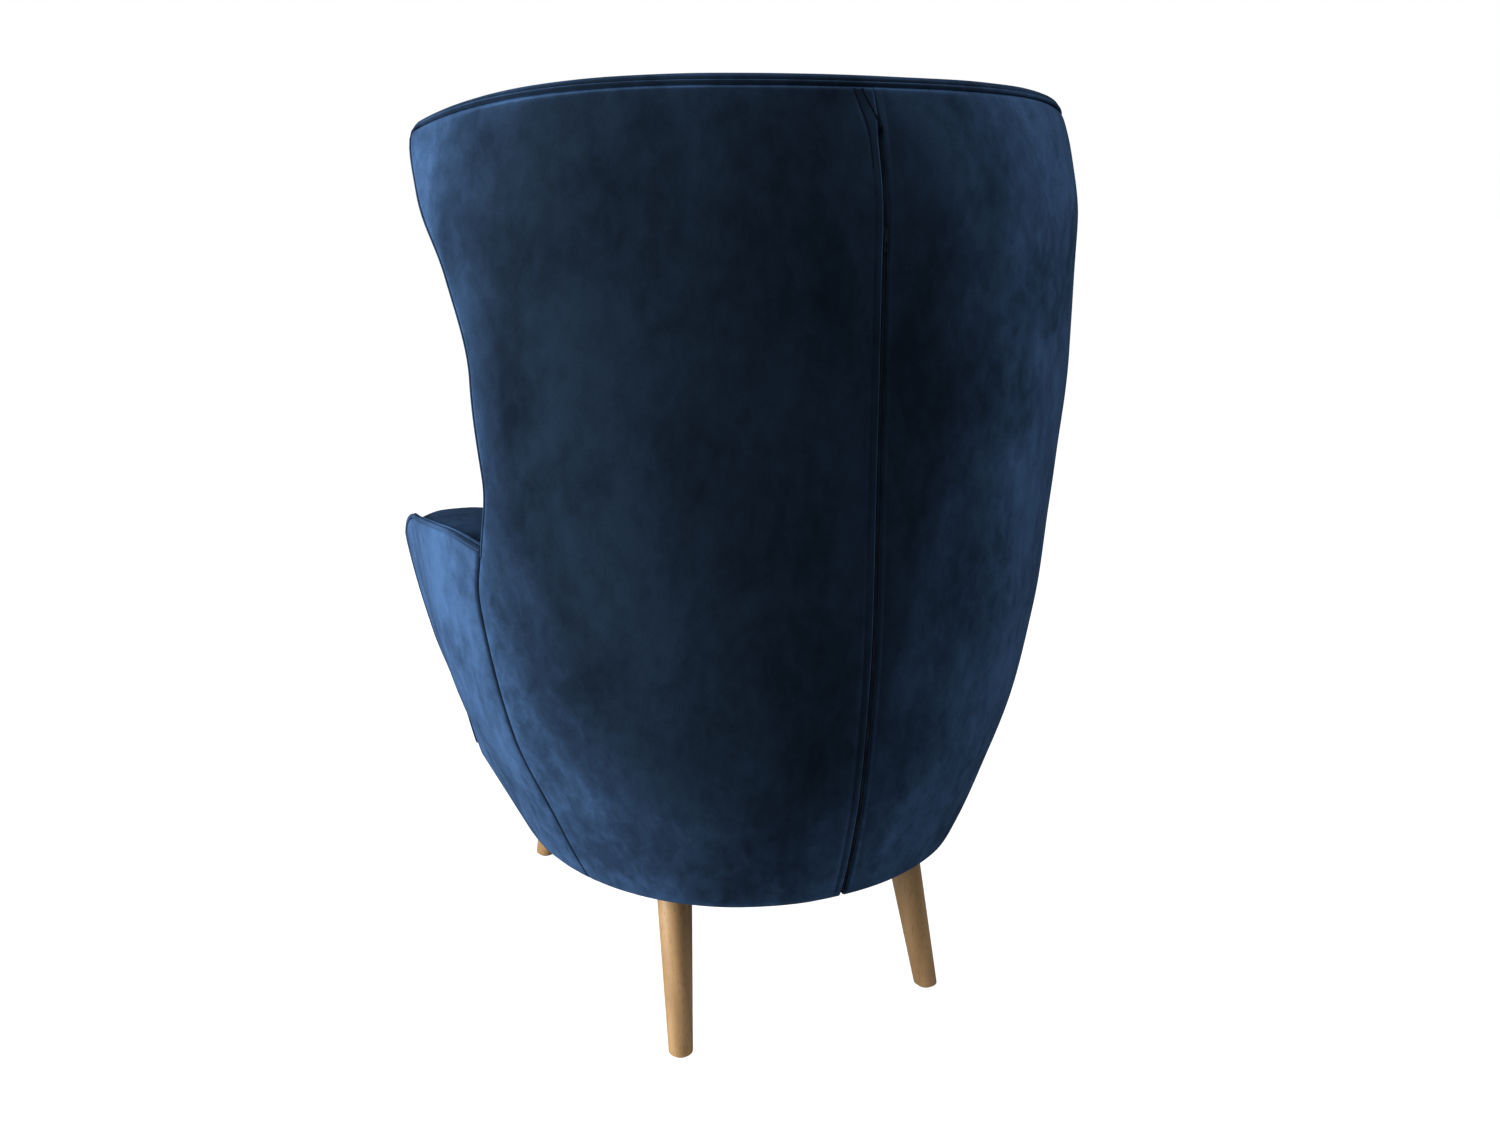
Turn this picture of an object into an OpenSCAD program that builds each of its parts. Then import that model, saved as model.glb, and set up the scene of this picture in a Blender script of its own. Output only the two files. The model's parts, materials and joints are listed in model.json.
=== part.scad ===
// High-backed wing armchair on four turned legs. The outer tub stands still on its base.
// Inside it the seat glides forward on two steel slides, the inner back tilts with it,
// and a padded footrest flips up at the front. Millimetres. The floor is z = 0, the back
// faces +Y, the seat faces -Y, and the origin is on the floor at the middle of the box.

/* [Tub] */
// Greatest width across the wings
wing_width = 822; // [780:2:860]
// Depth of the tub behind its centre line
back_depth = 369; // [350:1:385]
// Height of the outer cover's top edge at the middle of the back
cover_top = 1080; // [1070:1:1090]
// Height of the tub's lower edge above the floor
underside = 205; // [200:1:207]
// Drop of the top edge at the wing corners
top_arch = 64; // [50:1:66]
// Thickness of the sewn outer cover with its wadding
cover_t = 4; // [3:0.5:4]
// Height of the padded roll along the top edge
roll_h = 6; // [4:0.5:8]

/* [Arms] */
// How far the arms reach in front of the centre line
arm_reach = 262; // [240:1:275]
// Height of the arm where it meets the wing
arm_rear_h = 622; // [612:1:626]
// Height of the arm at its front
arm_front_h = 538; // [530:1:550]
// Clear half width between the arms
arm_gap = 268; // [264:1:272]

/* [Seat and inner back] */
// Height of the seat cushion's top
seat_top = 458; // [450:1:464]
// Reach of the seat cushion's nose in front of the centre line
seat_reach = 369; // [352:1:372]
// Half width of the seat cushion
seat_half = 258; // [250:1:260]
// Top of the tilting inner back
back_top = 1004; // [980:1:1006]
// Half width of the inner back between the wings
back_half = 280; // [270:1:282]

/* [Footrest] */
// Height of the footrest's hinge axis
foot_axis_z = 385; // [380:1:386]
// Distance of the footrest's hinge axis in front of the centre line
foot_axis_y = 335; // [334:1:336]
// Thickness of the footrest pad
foot_t = 45; // [40:1:45]

/* [Legs] */
// Diameter of a leg at the top
leg_top_d = 43; // [36:1:46]
// Diameter of a leg at the floor
leg_foot_d = 28; // [24:1:32]
// Sideways place of each leg at the floor
leg_foot_x = 169; // [160:1:175]
// Place of the rear legs at the floor
rear_foot_y = 231; // [220:1:236]
// Place of the front legs at the floor
front_foot_y = -313; // [-316:1:-300]
// Backward or forward lean of each leg over its height
leg_lean = 54; // [30:1:56]
// Outward lean of each leg over its height
leg_splay = 16; // [5:1:20]

/* [Hidden] */
$fn = 48;
SLIM = 24;               // fn of thin pins and screws
CORNER_N = 2.1;          // roundness of the tub in plan: 2 is an ellipse
CENTRE_Y = 13;           // y of the tub's widest line
HALF_W = wing_width / 2;
REACH_B = back_depth - CENTRE_Y;

// Upright profile of the tub: height against a share of the half width
WIDTHS = [[205, 0.67], [235, 0.703], [300, 0.766], [400, 0.864], [520, 0.924],
          [660, 0.966], [800, 1], [940, 1], [1020, 0.973], [1080, 0.927]];
// Height against a share of the depth behind the centre line
DEPTHS = [[205, 0.835], [260, 0.888], [360, 0.952], [550, 1], [950, 1],
          [1030, 0.958], [1080, 0.905]];
// Height against the y at which the back cover stops: the arm seam, then the wing's edge
EDGES = [[205, 150], [560, 150], [620, 166], [700, 184], [800, 185], [900, 161],
         [980, 118], [1035, 92], [1080, 112]];
// Height against how much the sides close in for each millimetre forward
CLOSING = [[205, 0.01], [300, 0.068], [420, 0.1], [540, 0.097], [700, 0.1]];
ARCH_POWER = 3.4;        // how late the top edge starts to drop

// ---- smooth curve through stations, flat where the stations turn ----
function slope(p, i) = (p[i + 1][1] - p[i][1]) / (p[i + 1][0] - p[i][0]);
function tangent(p, i) =
    i == 0 ? slope(p, 0) :
    i == len(p) - 1 ? slope(p, i - 1) :
    slope(p, i - 1) * slope(p, i) <= 0 ? 0 :
    2 * slope(p, i - 1) * slope(p, i) / (slope(p, i - 1) + slope(p, i));
function span(p, x, i = 0) = (i >= len(p) - 2 || x < p[i + 1][0]) ? i : span(p, x, i + 1);
function hermite(p, i, w, u) =
    p[i][1] * (2 * u * u * u - 3 * u * u + 1) + p[i + 1][1] * (3 * u * u - 2 * u * u * u)
    + tangent(p, i) * w * (u * u * u - 2 * u * u + u) + tangent(p, i + 1) * w * (u * u * u - u * u);
function along(p, x) =
    let (i = span(p, x), w = p[i + 1][0] - p[i][0], u = max(0, min(1, (x - p[i][0]) / w)))
    hermite(p, i, w, u);

// ---- the tub's surface, moved inwards by d ----
function half_at(z, d) = HALF_W * along(WIDTHS, z) - d;
function depth_at(z, d) = REACH_B * along(DEPTHS, z) - d;
function edge_y(z) = along(EDGES, z);
function edge_turn(z) = acos(pow((edge_y(z) - CENTRE_Y) / depth_at(z, 0), CORNER_N / 2));
// point at a turn in degrees from the middle of the back
function on_back(turn, z, d) =
    [sign(turn) * half_at(z, d) * pow(abs(sin(turn)), 2 / CORNER_N),
     CENTRE_Y + depth_at(z, d) * pow(cos(turn), 2 / CORNER_N), z];
// half width at a y, in the back's curve or in the straight arms
function half_x(y, z, d) =
    y > CENTRE_Y
        ? half_at(z, d) * pow(1 - pow((y - CENTRE_Y) / depth_at(z, d), CORNER_N), 1 / CORNER_N)
        : half_at(z, d) - along(CLOSING, z) * (CENTRE_Y - y);
// y of the back's curve at an x
function back_y(x, z, d) =
    CENTRE_Y + depth_at(z, d) * pow(1 - pow(abs(x) / half_at(z, d), CORNER_N), 1 / CORNER_N);
function top_z(turn) = cover_top - top_arch * pow(abs(turn) / 90, ARCH_POWER);
// the arm's top line: it rises from the front, crowns, and dips where it meets the wing
ARM_TOPS = [[-arm_reach, arm_front_h], [-200, 566], [-120, 595], [-40, 616], [60, 631], [110, 633],
            [170, arm_rear_h]];
function arm_z(y) = along(ARM_TOPS, min(170, max(-arm_reach, y)));
function mix(a, b, u) = a + (b - a) * u;
function steps(a, b, n) = [for (i = [0 : n]) mix(a, b, i / n)];

// Solid between an outer and an inner row of points, through a list of [outer, inner] rows
module loft(rows) {
    n = len(rows);
    m = len(rows[0][0]);
    k = 2 * m;
    pts = [for (r = rows) concat(r[0], [for (j = [m - 1 : -1 : 0]) r[1][j]])];
    ring_faces = [for (i = [0 : n - 2], j = [0 : k - 1])
        let (a = i * k + j, b = i * k + (j + 1) % k)
        each [[a, b + k, b], [a, a + k, b + k]]];
    end_faces = [for (j = [0 : m - 2])
        let (e = (n - 1) * k, a = j, b = j + 1, c = k - 2 - j, d = k - 1 - j)
        each [[a, b, c], [a, c, d], [e + a, e + c, e + b], [e + a, e + d, e + c]]];
    polyhedron([for (r = pts) each r], concat(ring_faces, end_faces), convexity = 8);
}

// Piece of the tub's wall between two shares of the way to its front edge
module back_wall(from, to, cols, z0, top_gap, rows, d0, d1, start = 0) {
    function place(u, v, d) =
        let (guess = mix(start, CORNER_TURN, abs(u)) * sign(u),
             z = mix(z0, top_z(guess) - top_gap, v),
             turn = sign(u) * mix(start, edge_turn(z), abs(u)))
        on_back(turn, z, d);
    loft([for (u = steps(from, to, cols))
        [for (d = [d0, d1]) [for (v = steps(0, 1, rows)) place(u, v, d)]]]);
}

// Upright or level strip of the tub's wall, between two turns and two heights
module wall_strip(t0, t1, cols, z0, z1, rows, d0, d1) {
    loft([for (t = steps(t0, t1, cols))
        [for (d = [d0, d1]) [for (z = steps(z0, z1, rows)) on_back(t, z, d)]]]);
}

module both_sides() {
    children();
    mirror([1, 0, 0]) children();
}

// side is 1 for the sitter's left and -1 for the sitter's right
module on_side(side) {
    if (side > 0) children();
    else mirror([1, 0, 0]) children();
}

module box(x0, x1, y0, y1, z0, z1) {
    translate([x0, y0, z0]) cube([x1 - x0, y1 - y0, z1 - z0]);
}

// Rod along X
module rod_x(x0, x1, y, z, r) {
    translate([x0, y, z]) rotate([0, 90, 0]) cylinder(h = x1 - x0, r = r, $fn = SLIM);
}

// Round-sided tube through a list of points
module tube(route, r, sides = 8) {
    n = len(route);
    function way(i) = route[min(i + 1, n - 1)] - route[max(i - 1, 0)];
    function ring(i) =
        let (w = way(i) / norm(way(i)), p = cross(w, abs(w[2]) < 0.8 ? [0, 0, 1] : [0, 1, 0]),
             a = p / norm(p), b = cross(w, a))
        [for (j = [0 : sides - 1])
            route[i] + r * (cos(360 * j / sides) * a + sin(360 * j / sides) * b)];
    pts = [for (i = [0 : n - 1]) each ring(i)];
    walls = [for (i = [0 : n - 2], j = [0 : sides - 1])
        let (a = i * sides + j, b = i * sides + (j + 1) % sides)
        each [[a, b + sides, b], [a, a + sides, b + sides]]];
    polyhedron(concat(pts, [route[0], route[n - 1]]), concat(walls,
        [for (j = [0 : sides - 1]) [n * sides, j, (j + 1) % sides]],
        [for (j = [0 : sides - 1]) [n * sides + 1, (n - 1) * sides + (j + 1) % sides, (n - 1) * sides + j]]));
}

// ---- base ----
BOARD_Z = 212;           // underside of the base board
BOARD_T = 15;
FLOOR_Z = BOARD_Z + BOARD_T;
BOARD_FRONT = -295;      // front edge of the base board
CROSS_H = 14;            // height and width of the base's cross rails
CROSS_W = 25;
BASE_REAR = 121;
RAIL_IN = 200;           // inner face of the base's side rails
RAIL_OUT = 224;
RAIL_TOP = 290;
DUST_Z = 208;

// ---- seat ----
SEAT_Z = 245;            // underside of the seat's rails
SEAT_RAIL_TOP = 303;
SEAT_RAIL_IN = 163;
SEAT_RAIL_OUT = 187;
SEAT_REAR = 194;
SEAT_FRONT = -293;
SEAT_CROSS_W = 24;
STRAP_T = 2.5;
CUSHION_Z = 306;
NOSE_Z = 412;            // underside of the cushion's nose
PANEL_T = 15;            // board that carries the footrest

// ---- inner back ----
TILT_Y = 240;            // tilt axis
TILT_Z = 400;
TILT_R = 5;
BACK_Z = 386;            // foot of the inner back's board
BACK_LOW_HALF = 250;     // half width between the arms
LINING_D = 36;           // inner face of the tub's lining
BACK_D = 43;             // rear face of the tilting board
BACK_BOARD_T = 10;
BACK_CUSHION_Z = 470;

GAS_Z = 262;             // axis of the gas damper
GAS_ROD_R = 4;
FIT = 0.06;              // radial running clearance

function base_outline(d) =
    let (z = BOARD_Z, right = [for (t = steps(0, 88, 16)) on_back(t, z, d)])
    concat([for (p = right) [p[0], p[1]]],
        [[half_x(BOARD_FRONT + 20, z, d), BOARD_FRONT + 20], [half_x(BOARD_FRONT, z, d) - 16, BOARD_FRONT]]);

module mirrored_outline(pts) {
    polygon(concat(pts, [for (i = [len(pts) - 1 : -1 : 1]) [-pts[i][0], pts[i][1]]]));
}

// Where each leg stands: rear left, rear right, front left, front right
LEGS = [[1, 1], [-1, 1], [1, -1], [-1, -1]];
LEG_H = 201;             // height of the middle of a leg's top face
LEG_TILT = atan(norm([leg_lean, leg_splay]) / LEG_H);
LEG_LENGTH = norm([leg_lean, leg_splay, LEG_H]);
LEG_GLIDE_H = 3;

// Puts +Z along a leg, with its origin on the floor
module at_leg(p) {
    foot_y = p[1] > 0 ? rear_foot_y : front_foot_y;
    translate([p[0] * leg_foot_x, foot_y, 0])
        rotate([0, LEG_TILT, atan2(-p[1] * leg_lean, -p[0] * leg_splay)]) rotate([0, 0, 37])
        children();
}

BOLT_R = 4;
BOLT_IN = 34;            // depth of a hanger bolt in the leg
BOLT_OUT = 22;           // its length above the leg

module leg(p) {
    round_r = 3;
    color("burlywood") difference() {
        at_leg(p) rotate_extrude() polygon([
            [0, -8], [leg_foot_d / 2 - 0.4, -8], [leg_top_d / 2, LEG_LENGTH - 8],
            [leg_top_d / 2 - 0.8, LEG_LENGTH - round_r],
            [leg_top_d / 2 - round_r, LEG_LENGTH], [0, LEG_LENGTH]]);
        translate([p[0] * leg_foot_x, 0, LEG_GLIDE_H - 100]) cube([120, 900, 200], center = true);
        at_leg(p) translate([0, 0, LEG_LENGTH - BOLT_IN]) cylinder(h = BOLT_IN + 5, r = BOLT_R, $fn = SLIM);
    }
}
module leg_rear_left() { leg(LEGS[0]); }
module leg_rear_right() { leg(LEGS[1]); }
module leg_front_left() { leg(LEGS[2]); }
module leg_front_right() { leg(LEGS[3]); }

module floor_glides() {
    color("dimgray") for (p = LEGS)
        translate([p[0] * (leg_foot_x - 0.2), (p[1] > 0 ? rear_foot_y : front_foot_y) - p[1] * 0.8, 0])
            cylinder(h = LEG_GLIDE_H, r = 11);
}

module leg_bolts() {
    color("silver") for (p = LEGS) at_leg(p)
        translate([0, 0, LEG_LENGTH - BOLT_IN]) cylinder(h = BOLT_IN + BOLT_OUT, r = BOLT_R, $fn = SLIM);
}

module bolt_holes(r) {
    for (p = LEGS) at_leg(p) translate([0, 0, LEG_LENGTH - 1]) cylinder(h = 60, r = r, $fn = SLIM);
}

PLATE_R = 30;
PLATE_Z = 209.5;         // underside of a leg's mounting plate
function leg_top(p) =
    [p[0] * (leg_foot_x - leg_splay), p[1] > 0 ? rear_foot_y - leg_lean : front_foot_y + leg_lean, 0];

module leg_plates() {
    color("gray") difference() {
        union() {
            for (p = LEGS)
                translate(leg_top(p) + [0, 0, PLATE_Z]) cylinder(h = BOARD_Z - PLATE_Z, r = PLATE_R);
            intersection() {
                for (p = LEGS) at_leg(p) translate([0, 0, LEG_LENGTH]) cylinder(h = 12, r = 14);
                box(-HALF_W, HALF_W, -HALF_W, HALF_W, PLATE_Z - 20, PLATE_Z + 0.1);
            }
        }
        bolt_holes(BOLT_R);
    }
}

module base_board() {
    color("tan") difference() {
        translate([0, 0, BOARD_Z]) linear_extrude(BOARD_T) mirrored_outline(base_outline(cover_t + 1));
        bolt_holes(BOLT_R);
    }
}

module dust_cover() {
    color([0.12, 0.12, 0.13]) difference() {
        translate([0, 0, DUST_Z]) linear_extrude(1.2) mirrored_outline(base_outline(cover_t + 4));
        for (p = LEGS)
            translate(leg_top(p) + [0, 0, DUST_Z - 1]) cylinder(h = 4, r = PLATE_R + 2);
    }
}

module base_cross_rails() {
    color("tan") {
        box(-RAIL_OUT, RAIL_OUT, BOARD_FRONT, BOARD_FRONT + CROSS_W, FLOOR_Z, FLOOR_Z + CROSS_H);
        box(-RAIL_IN, RAIL_IN, BASE_REAR - CROSS_W, BASE_REAR, FLOOR_Z, FLOOR_Z + CROSS_H);
    }
}
module base_side_rail(side) {
    color("tan") on_side(side) difference() {
        box(RAIL_IN, RAIL_OUT, BOARD_FRONT + CROSS_W, BASE_REAR, FLOOR_Z, RAIL_TOP);
        for (y = SLIDE_SCREWS) rod_x(RAIL_IN - 1, RAIL_IN + 12, y, SLIDE_Z, SCREW_R);
    }
}
module base_side_rail_left() { base_side_rail(1); }
module base_side_rail_right() { base_side_rail(-1); }

// ---- slides ----
SLIDE_Z = 264;           // middle of the steel slides
SLIDE_H = 34;
SLIDE_W = 11;            // width of the fixed channel
SLIDE_WALL = 2;
SLIDE_GAP = 0.8;         // clearance between the two channels
SLIDE_FRONT = -268;
SLIDE_REAR = 96;
SLIDE_SCREWS = [-230, -70, 80];
SCREW_R = 1.8;

module slide_fixed(side) {
    color("silver") on_side(side) difference() {
        box(RAIL_IN - SLIDE_W, RAIL_IN, SLIDE_FRONT, SLIDE_REAR,
            SLIDE_Z - SLIDE_H / 2, SLIDE_Z + SLIDE_H / 2);
        box(RAIL_IN - SLIDE_W - 1, RAIL_IN - SLIDE_WALL, SLIDE_FRONT - 1, SLIDE_REAR + 1,
            SLIDE_Z - SLIDE_H / 2 + SLIDE_WALL, SLIDE_Z + SLIDE_H / 2 - SLIDE_WALL);
        for (y = SLIDE_SCREWS) rod_x(RAIL_IN - 3, RAIL_IN + 1, y, SLIDE_Z, SCREW_R);
    }
}
module slide_fixed_left() { slide_fixed(1); }
module slide_fixed_right() { slide_fixed(-1); }

module slide_moving(side) {
    reach = SLIDE_H / 2 - SLIDE_WALL - SLIDE_GAP;
    color("silver") on_side(side) difference() {
        box(SEAT_RAIL_OUT, RAIL_IN - SLIDE_WALL - SLIDE_GAP, SLIDE_FRONT, SLIDE_REAR,
            SLIDE_Z - reach, SLIDE_Z + reach);
        box(SEAT_RAIL_OUT + SLIDE_WALL, RAIL_IN, SLIDE_FRONT - 1, SLIDE_REAR + 1,
            SLIDE_Z - reach + SLIDE_WALL, SLIDE_Z + reach - SLIDE_WALL);
    }
}
module slide_moving_left() { slide_moving(1); }
module slide_moving_right() { slide_moving(-1); }

// ---- gas damper ----
module gas_cylinder() {
    color([0.1, 0.1, 0.1]) difference() {
        translate([0, 120, GAS_Z]) rotate([90, 0, 0]) cylinder(h = 180, r = 9);
        translate([0, 112, GAS_Z]) rotate([90, 0, 0]) cylinder(h = 180, r = GAS_ROD_R + FIT);
    }
}
module gas_bracket() {
    color("gray") difference() {
        box(-13, 13, 121, 136, FLOOR_Z, GAS_Z + 11);
        for (x = [-8, 8]) translate([x, 128, FLOOR_Z - 1]) cylinder(h = 60, r = 2.2, $fn = SLIM);
    }
}
module gas_rod() {
    color("silver") translate([0, 105, GAS_Z]) rotate([90, 0, 0])
        cylinder(h = 105 - (SEAT_FRONT + SEAT_CROSS_W) + 15, r = GAS_ROD_R);
}

// ---- tub frame ----
FRAME_D = cover_t + 2.5;    // outer face of the frame
FRAME_IN = 23;           // inner face of the frame
CORNER_Z = 1042;         // height of the wing's top corner
CORNER_TURN = edge_turn(CORNER_Z);
POST_TOP = 1036;
HOOP_GAP = 7;            // from the cover's edge down to the top hoop

module back_posts() {
    color("tan") for (turn = [-24, 24])
        wall_strip(turn - 4, turn + 4, 2, FLOOR_Z, POST_TOP, 12, FRAME_D, FRAME_IN);
}

module wing_posts() {
    color("tan") both_sides()
        loft([for (u = [0, 0.5, 1])
            [for (d = [FRAME_D, FRAME_IN])
                [for (z = steps(FLOOR_Z, POST_TOP, 12)) on_back(edge_turn(z) - mix(13, 5, u), z, d)]]]);
}

module top_hoop() {
    color("tan") loft([for (u = steps(-1, 1, 26))
        let (turn = u * (CORNER_TURN - 6), high = top_z(turn) - HOOP_GAP)
        [for (d = [FRAME_D, FRAME_IN]) [for (z = steps(POST_TOP + 0.5, high, 2)) on_back(turn, z, d)]]]);
}

module waist_hoop() {
    color("tan") wall_strip(-19, 19, 8, 560, 600, 2, FRAME_D, FRAME_IN);
    both_sides() color("tan")
        loft([for (t = steps(29, edge_turn(590) - 14, 6))
            [for (d = [FRAME_D, FRAME_IN]) [for (z = [560, 580, 600]) on_back(t, z, d)]]]);
}

ARM_POST_W = 26;
ARM_RAIL_REAR = 143;
ARM_FACE_T = 5;
module arm_posts() {
    rear = -arm_reach + ARM_FACE_T + 1 + ARM_POST_W;
    color("tan") both_sides()
        loft([for (y = [rear, rear - ARM_POST_W])
            [for (d = [FRAME_D, FRAME_IN])
                [for (z = steps(FLOOR_Z, arm_front_h - 46, 8)) [half_x(y, z, d), y, z]]]]);
}

module arm_rails() {
    front = -arm_reach + ARM_FACE_T + 1;
    color("tan") both_sides()
        loft([for (y = steps(ARM_RAIL_REAR, front, 12))
            [for (d = [FRAME_D, FRAME_IN])
                [for (h = [45, 32, 20]) [half_x(y, arm_z(y) - h, d), y, arm_z(y) - h]]]]);
}

module tub_lining() {
    color([0.2, 0.2, 0.22]) loft([for (u = steps(-0.87, 0.87, 24))
        [for (d = [FRAME_IN + 2, LINING_D])
            [for (z = steps(300, top_z(u * CORNER_TURN) - 12, 12)) on_back(u * edge_turn(z), z, d)]]]);
}

// ---- tub upholstery ----
VELVET = [0.07, 0.13, 0.24];
ZIP_HALF = 3.6;          // half width of the zip's tape
WELT_R = 2.4;
WELT_GAP = 6;            // height that the welt takes above a cover
ZIP_START = 0.72;        // turn at which a back cover begins

module back_cover(side) {
    color(VELVET) on_side(side)
        back_wall(0.0001, 1, 14, underside, WELT_GAP, 16, 0, cover_t, ZIP_START);
}
module back_cover_left() { back_cover(1); }
module back_cover_right() { back_cover(-1); }

ARM_FRONT = -arm_reach + ARM_FACE_T + 0.5;
ARM_GAP_REAR = 3;        // gap between an arm's cover and the back cover
// y at a share of the way from an arm's rear seam to its front
function arm_y(u, z) = mix(edge_y(z) - ARM_GAP_REAR, ARM_FRONT, u);
function arm_top(u) = arm_z(arm_y(u, arm_z(arm_y(u, arm_rear_h))));
module arm_cover(side) {
    color(VELVET) on_side(side)
        loft([for (u = steps(0, 1, 18))
            let (top = arm_top(u) - WELT_GAP)
            [for (d = [0, cover_t])
                [for (z = steps(underside, top, 10)) let (y = arm_y(u, z)) [half_x(y, z, d), y, z]]]]);
}
module arm_cover_left() { arm_cover(1); }
module arm_cover_right() { arm_cover(-1); }

// Inner side and top of an arm
module arm_pad(side) {
    low = 300;
    color(VELVET * 1.15) on_side(side)
        loft([for (u = steps(0, 1, 18))
            let (top = arm_top(u), knee = top - 19)
            [concat([for (z = steps(low, knee, 3)) let (y = arm_y(u, z)) [half_x(y, z, FRAME_IN + 1), y, z]],
                [for (e = [[FRAME_D, 18], [FRAME_D, 7], [16, 0]])
                    let (z = top - e[1], y = arm_y(u, z)) [half_x(y, z, e[0]), y, z]]),
             concat([for (z = steps(low, knee, 3)) [arm_gap, arm_y(u, z), z]],
                [for (e = [[0, 16], [1, 9], [12, 0]])
                    let (z = top - e[1]) [arm_gap + e[0], arm_y(u, z), z]])]]);
}
module arm_pad_left() { arm_pad(1); }
module arm_pad_right() { arm_pad(-1); }

// Front face of an arm
module arm_face(side) {
    y0 = -arm_reach;
    y1 = y0 + ARM_FACE_T;
    function inner(z) = z < 296 ? RAIL_OUT + 4 : arm_gap;
    heights = concat(steps(FLOOR_Z + 1, 295, 3), steps(297, arm_front_h - 8, 8), [arm_front_h - 1]);
    color(VELVET) on_side(side)
        loft([for (y = [y1, y0])
            [[for (z = heights) [half_x(y, z, z > arm_front_h - 4 ? 8 : WELT_R), y, z]],
             [for (z = heights) [inner(z) + (z > arm_front_h - 4 ? 8 : 0), y, z]]]]);
}
module arm_face_left() { arm_face(1); }
module arm_face_right() { arm_face(-1); }

// Inner side of a wing, closing in towards the inner back
module wing_pad(side) {
    pocket = back_half + 8;
    color(VELVET * 1.15) on_side(side)
        loft([for (v = steps(1, 0, 12))
            [for (inner = [false, true]) [for (u = steps(0, 1, 6))
                let (d = LINING_D + 2.5, z = mix(arm_rear_h - 12, top_z(mix(50, 77, u)) - 8, v),
                     stop = edge_y(z), root = min(back_y(pocket, z, d), 236),
                     shelf = min(root - 14, max(stop + 6, 196)), y = mix(root, stop + 7.5, u))
                inner ? [mix(pocket, half_x(stop + 7, z, 56), u) - 0.01, mix(shelf, stop + 7, u), z]
                      : [max(half_x(y, z, d), pocket), y, z]]]]);
}
module wing_pad_left() { wing_pad(1); }
module wing_pad_right() { wing_pad(-1); }

// Strip that closes the front edge of a wing
module wing_face(side) {
    color(VELVET) on_side(side)
        loft([for (z = steps(CORNER_Z - 7, arm_rear_h + 6, 14))
            let (y = edge_y(z) + 5.5)
            [[for (u = [0, 1]) [half_x(y, z, cover_t + 1.2 + u * 3), y - u * 5, z]],
             [for (u = [0, 1]) [half_x(y, z, 54 - u * 3), y - u * 5, z]]]]);
}
module wing_face_left() { wing_face(1); }
module wing_face_right() { wing_face(-1); }

module top_roll() {
    color(VELVET) loft([for (u = steps(-1, 1, 32))
        let (turn = u * CORNER_TURN, z = top_z(turn), fade = 1 - 0.6 * pow(abs(u), 4))
        [[for (e = [[0.5, 0.5], [2, 0.55 * roll_h], [9, 0.9 * roll_h], [20, roll_h]])
             on_back(turn, z, e[0]) + [0, 0, max(0.5, e[1] * fade)]],
         [for (e = [[54, 0.5], [53, 0.4 * roll_h], [44, 0.9 * roll_h], [34, roll_h]])
             on_back(turn, z, e[0]) + [0, 0, max(0.5, e[1] * fade)]]]]);
}

module top_welt() {
    color(VELVET * 0.8) tube([for (u = steps(-1, 1, 40))
        let (turn = u * (CORNER_TURN - 0.5), z = top_z(turn)) on_back(turn, z - 3, WELT_R)], WELT_R);
}
module arm_welts() {
    color(VELVET * 0.8) both_sides()
        tube([for (y = steps(edge_y(arm_rear_h) - 4, ARM_FRONT + 2, 18))
            [half_x(y, arm_z(y) - 3, WELT_R), y, arm_z(y) - 3]], WELT_R);
}

APRON_HALF = half_x(BOARD_FRONT, BOARD_Z, cover_t + 1) - 15;
module front_apron() {
    color(VELVET)
        box(-APRON_HALF, APRON_HALF, BOARD_FRONT - 3.5, BOARD_FRONT - 0.2, underside + 2, FLOOR_Z + CROSS_H);
}

module zip_strip(half, z0, z1, d0, d1) {
    loft([for (x = [-half, half])
        [for (d = [d0, d1]) [for (z = steps(z0, z1, 14)) [x, CENTRE_Y + depth_at(z, d), z]]]]);
}
module zip_tape() { color([0.05, 0.06, 0.09]) zip_strip(ZIP_HALF, 214, 1066, 3, 4.4); }

SLIDER_Z = 938;          // foot of the zip's slider at rest
module zip_slider() {
    y = back_depth - 1;
    color("silver") {
        box(-3.3, 3.3, y - 1.6, y, SLIDER_Z, SLIDER_Z + 9);
        difference() {
            box(-2.2, 2.2, y, y + 1, SLIDER_Z - 14, SLIDER_Z + 5);
            box(-1, 1, y - 1, y + 2, SLIDER_Z - 11, SLIDER_Z - 5);
        }
    }
}

// ---- seat, which glides ----
module seat_side_rails() {
    color("peru") both_sides()
        box(SEAT_RAIL_IN, SEAT_RAIL_OUT, SEAT_FRONT, SEAT_REAR, SEAT_Z, SEAT_RAIL_TOP);
}
module seat_cross_rails() {
    color("peru") {
        difference() {
            box(-SEAT_RAIL_IN, SEAT_RAIL_IN, SEAT_FRONT, SEAT_FRONT + SEAT_CROSS_W, SEAT_Z, SEAT_RAIL_TOP);
            translate([0, SEAT_FRONT + SEAT_CROSS_W + 1, GAS_Z]) rotate([90, 0, 0])
                cylinder(h = 17, r = GAS_ROD_R);
        }
        box(-SEAT_RAIL_IN, SEAT_RAIL_IN, SEAT_REAR - SEAT_CROSS_W, SEAT_REAR, 278, SEAT_RAIL_TOP);
    }
}
module seat_front_panel() {
    color("peru") box(-247, 247, SEAT_FRONT - PANEL_T, SEAT_FRONT, SEAT_Z + 1, 404);
}
module seat_straps() {
    color([0.15, 0.14, 0.13]) for (y = [-240 : 88 : 120])
        box(-SEAT_RAIL_OUT + 1, SEAT_RAIL_OUT - 1, y - 30, y + 30, SEAT_RAIL_TOP, SEAT_RAIL_TOP + STRAP_T);
}
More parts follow.
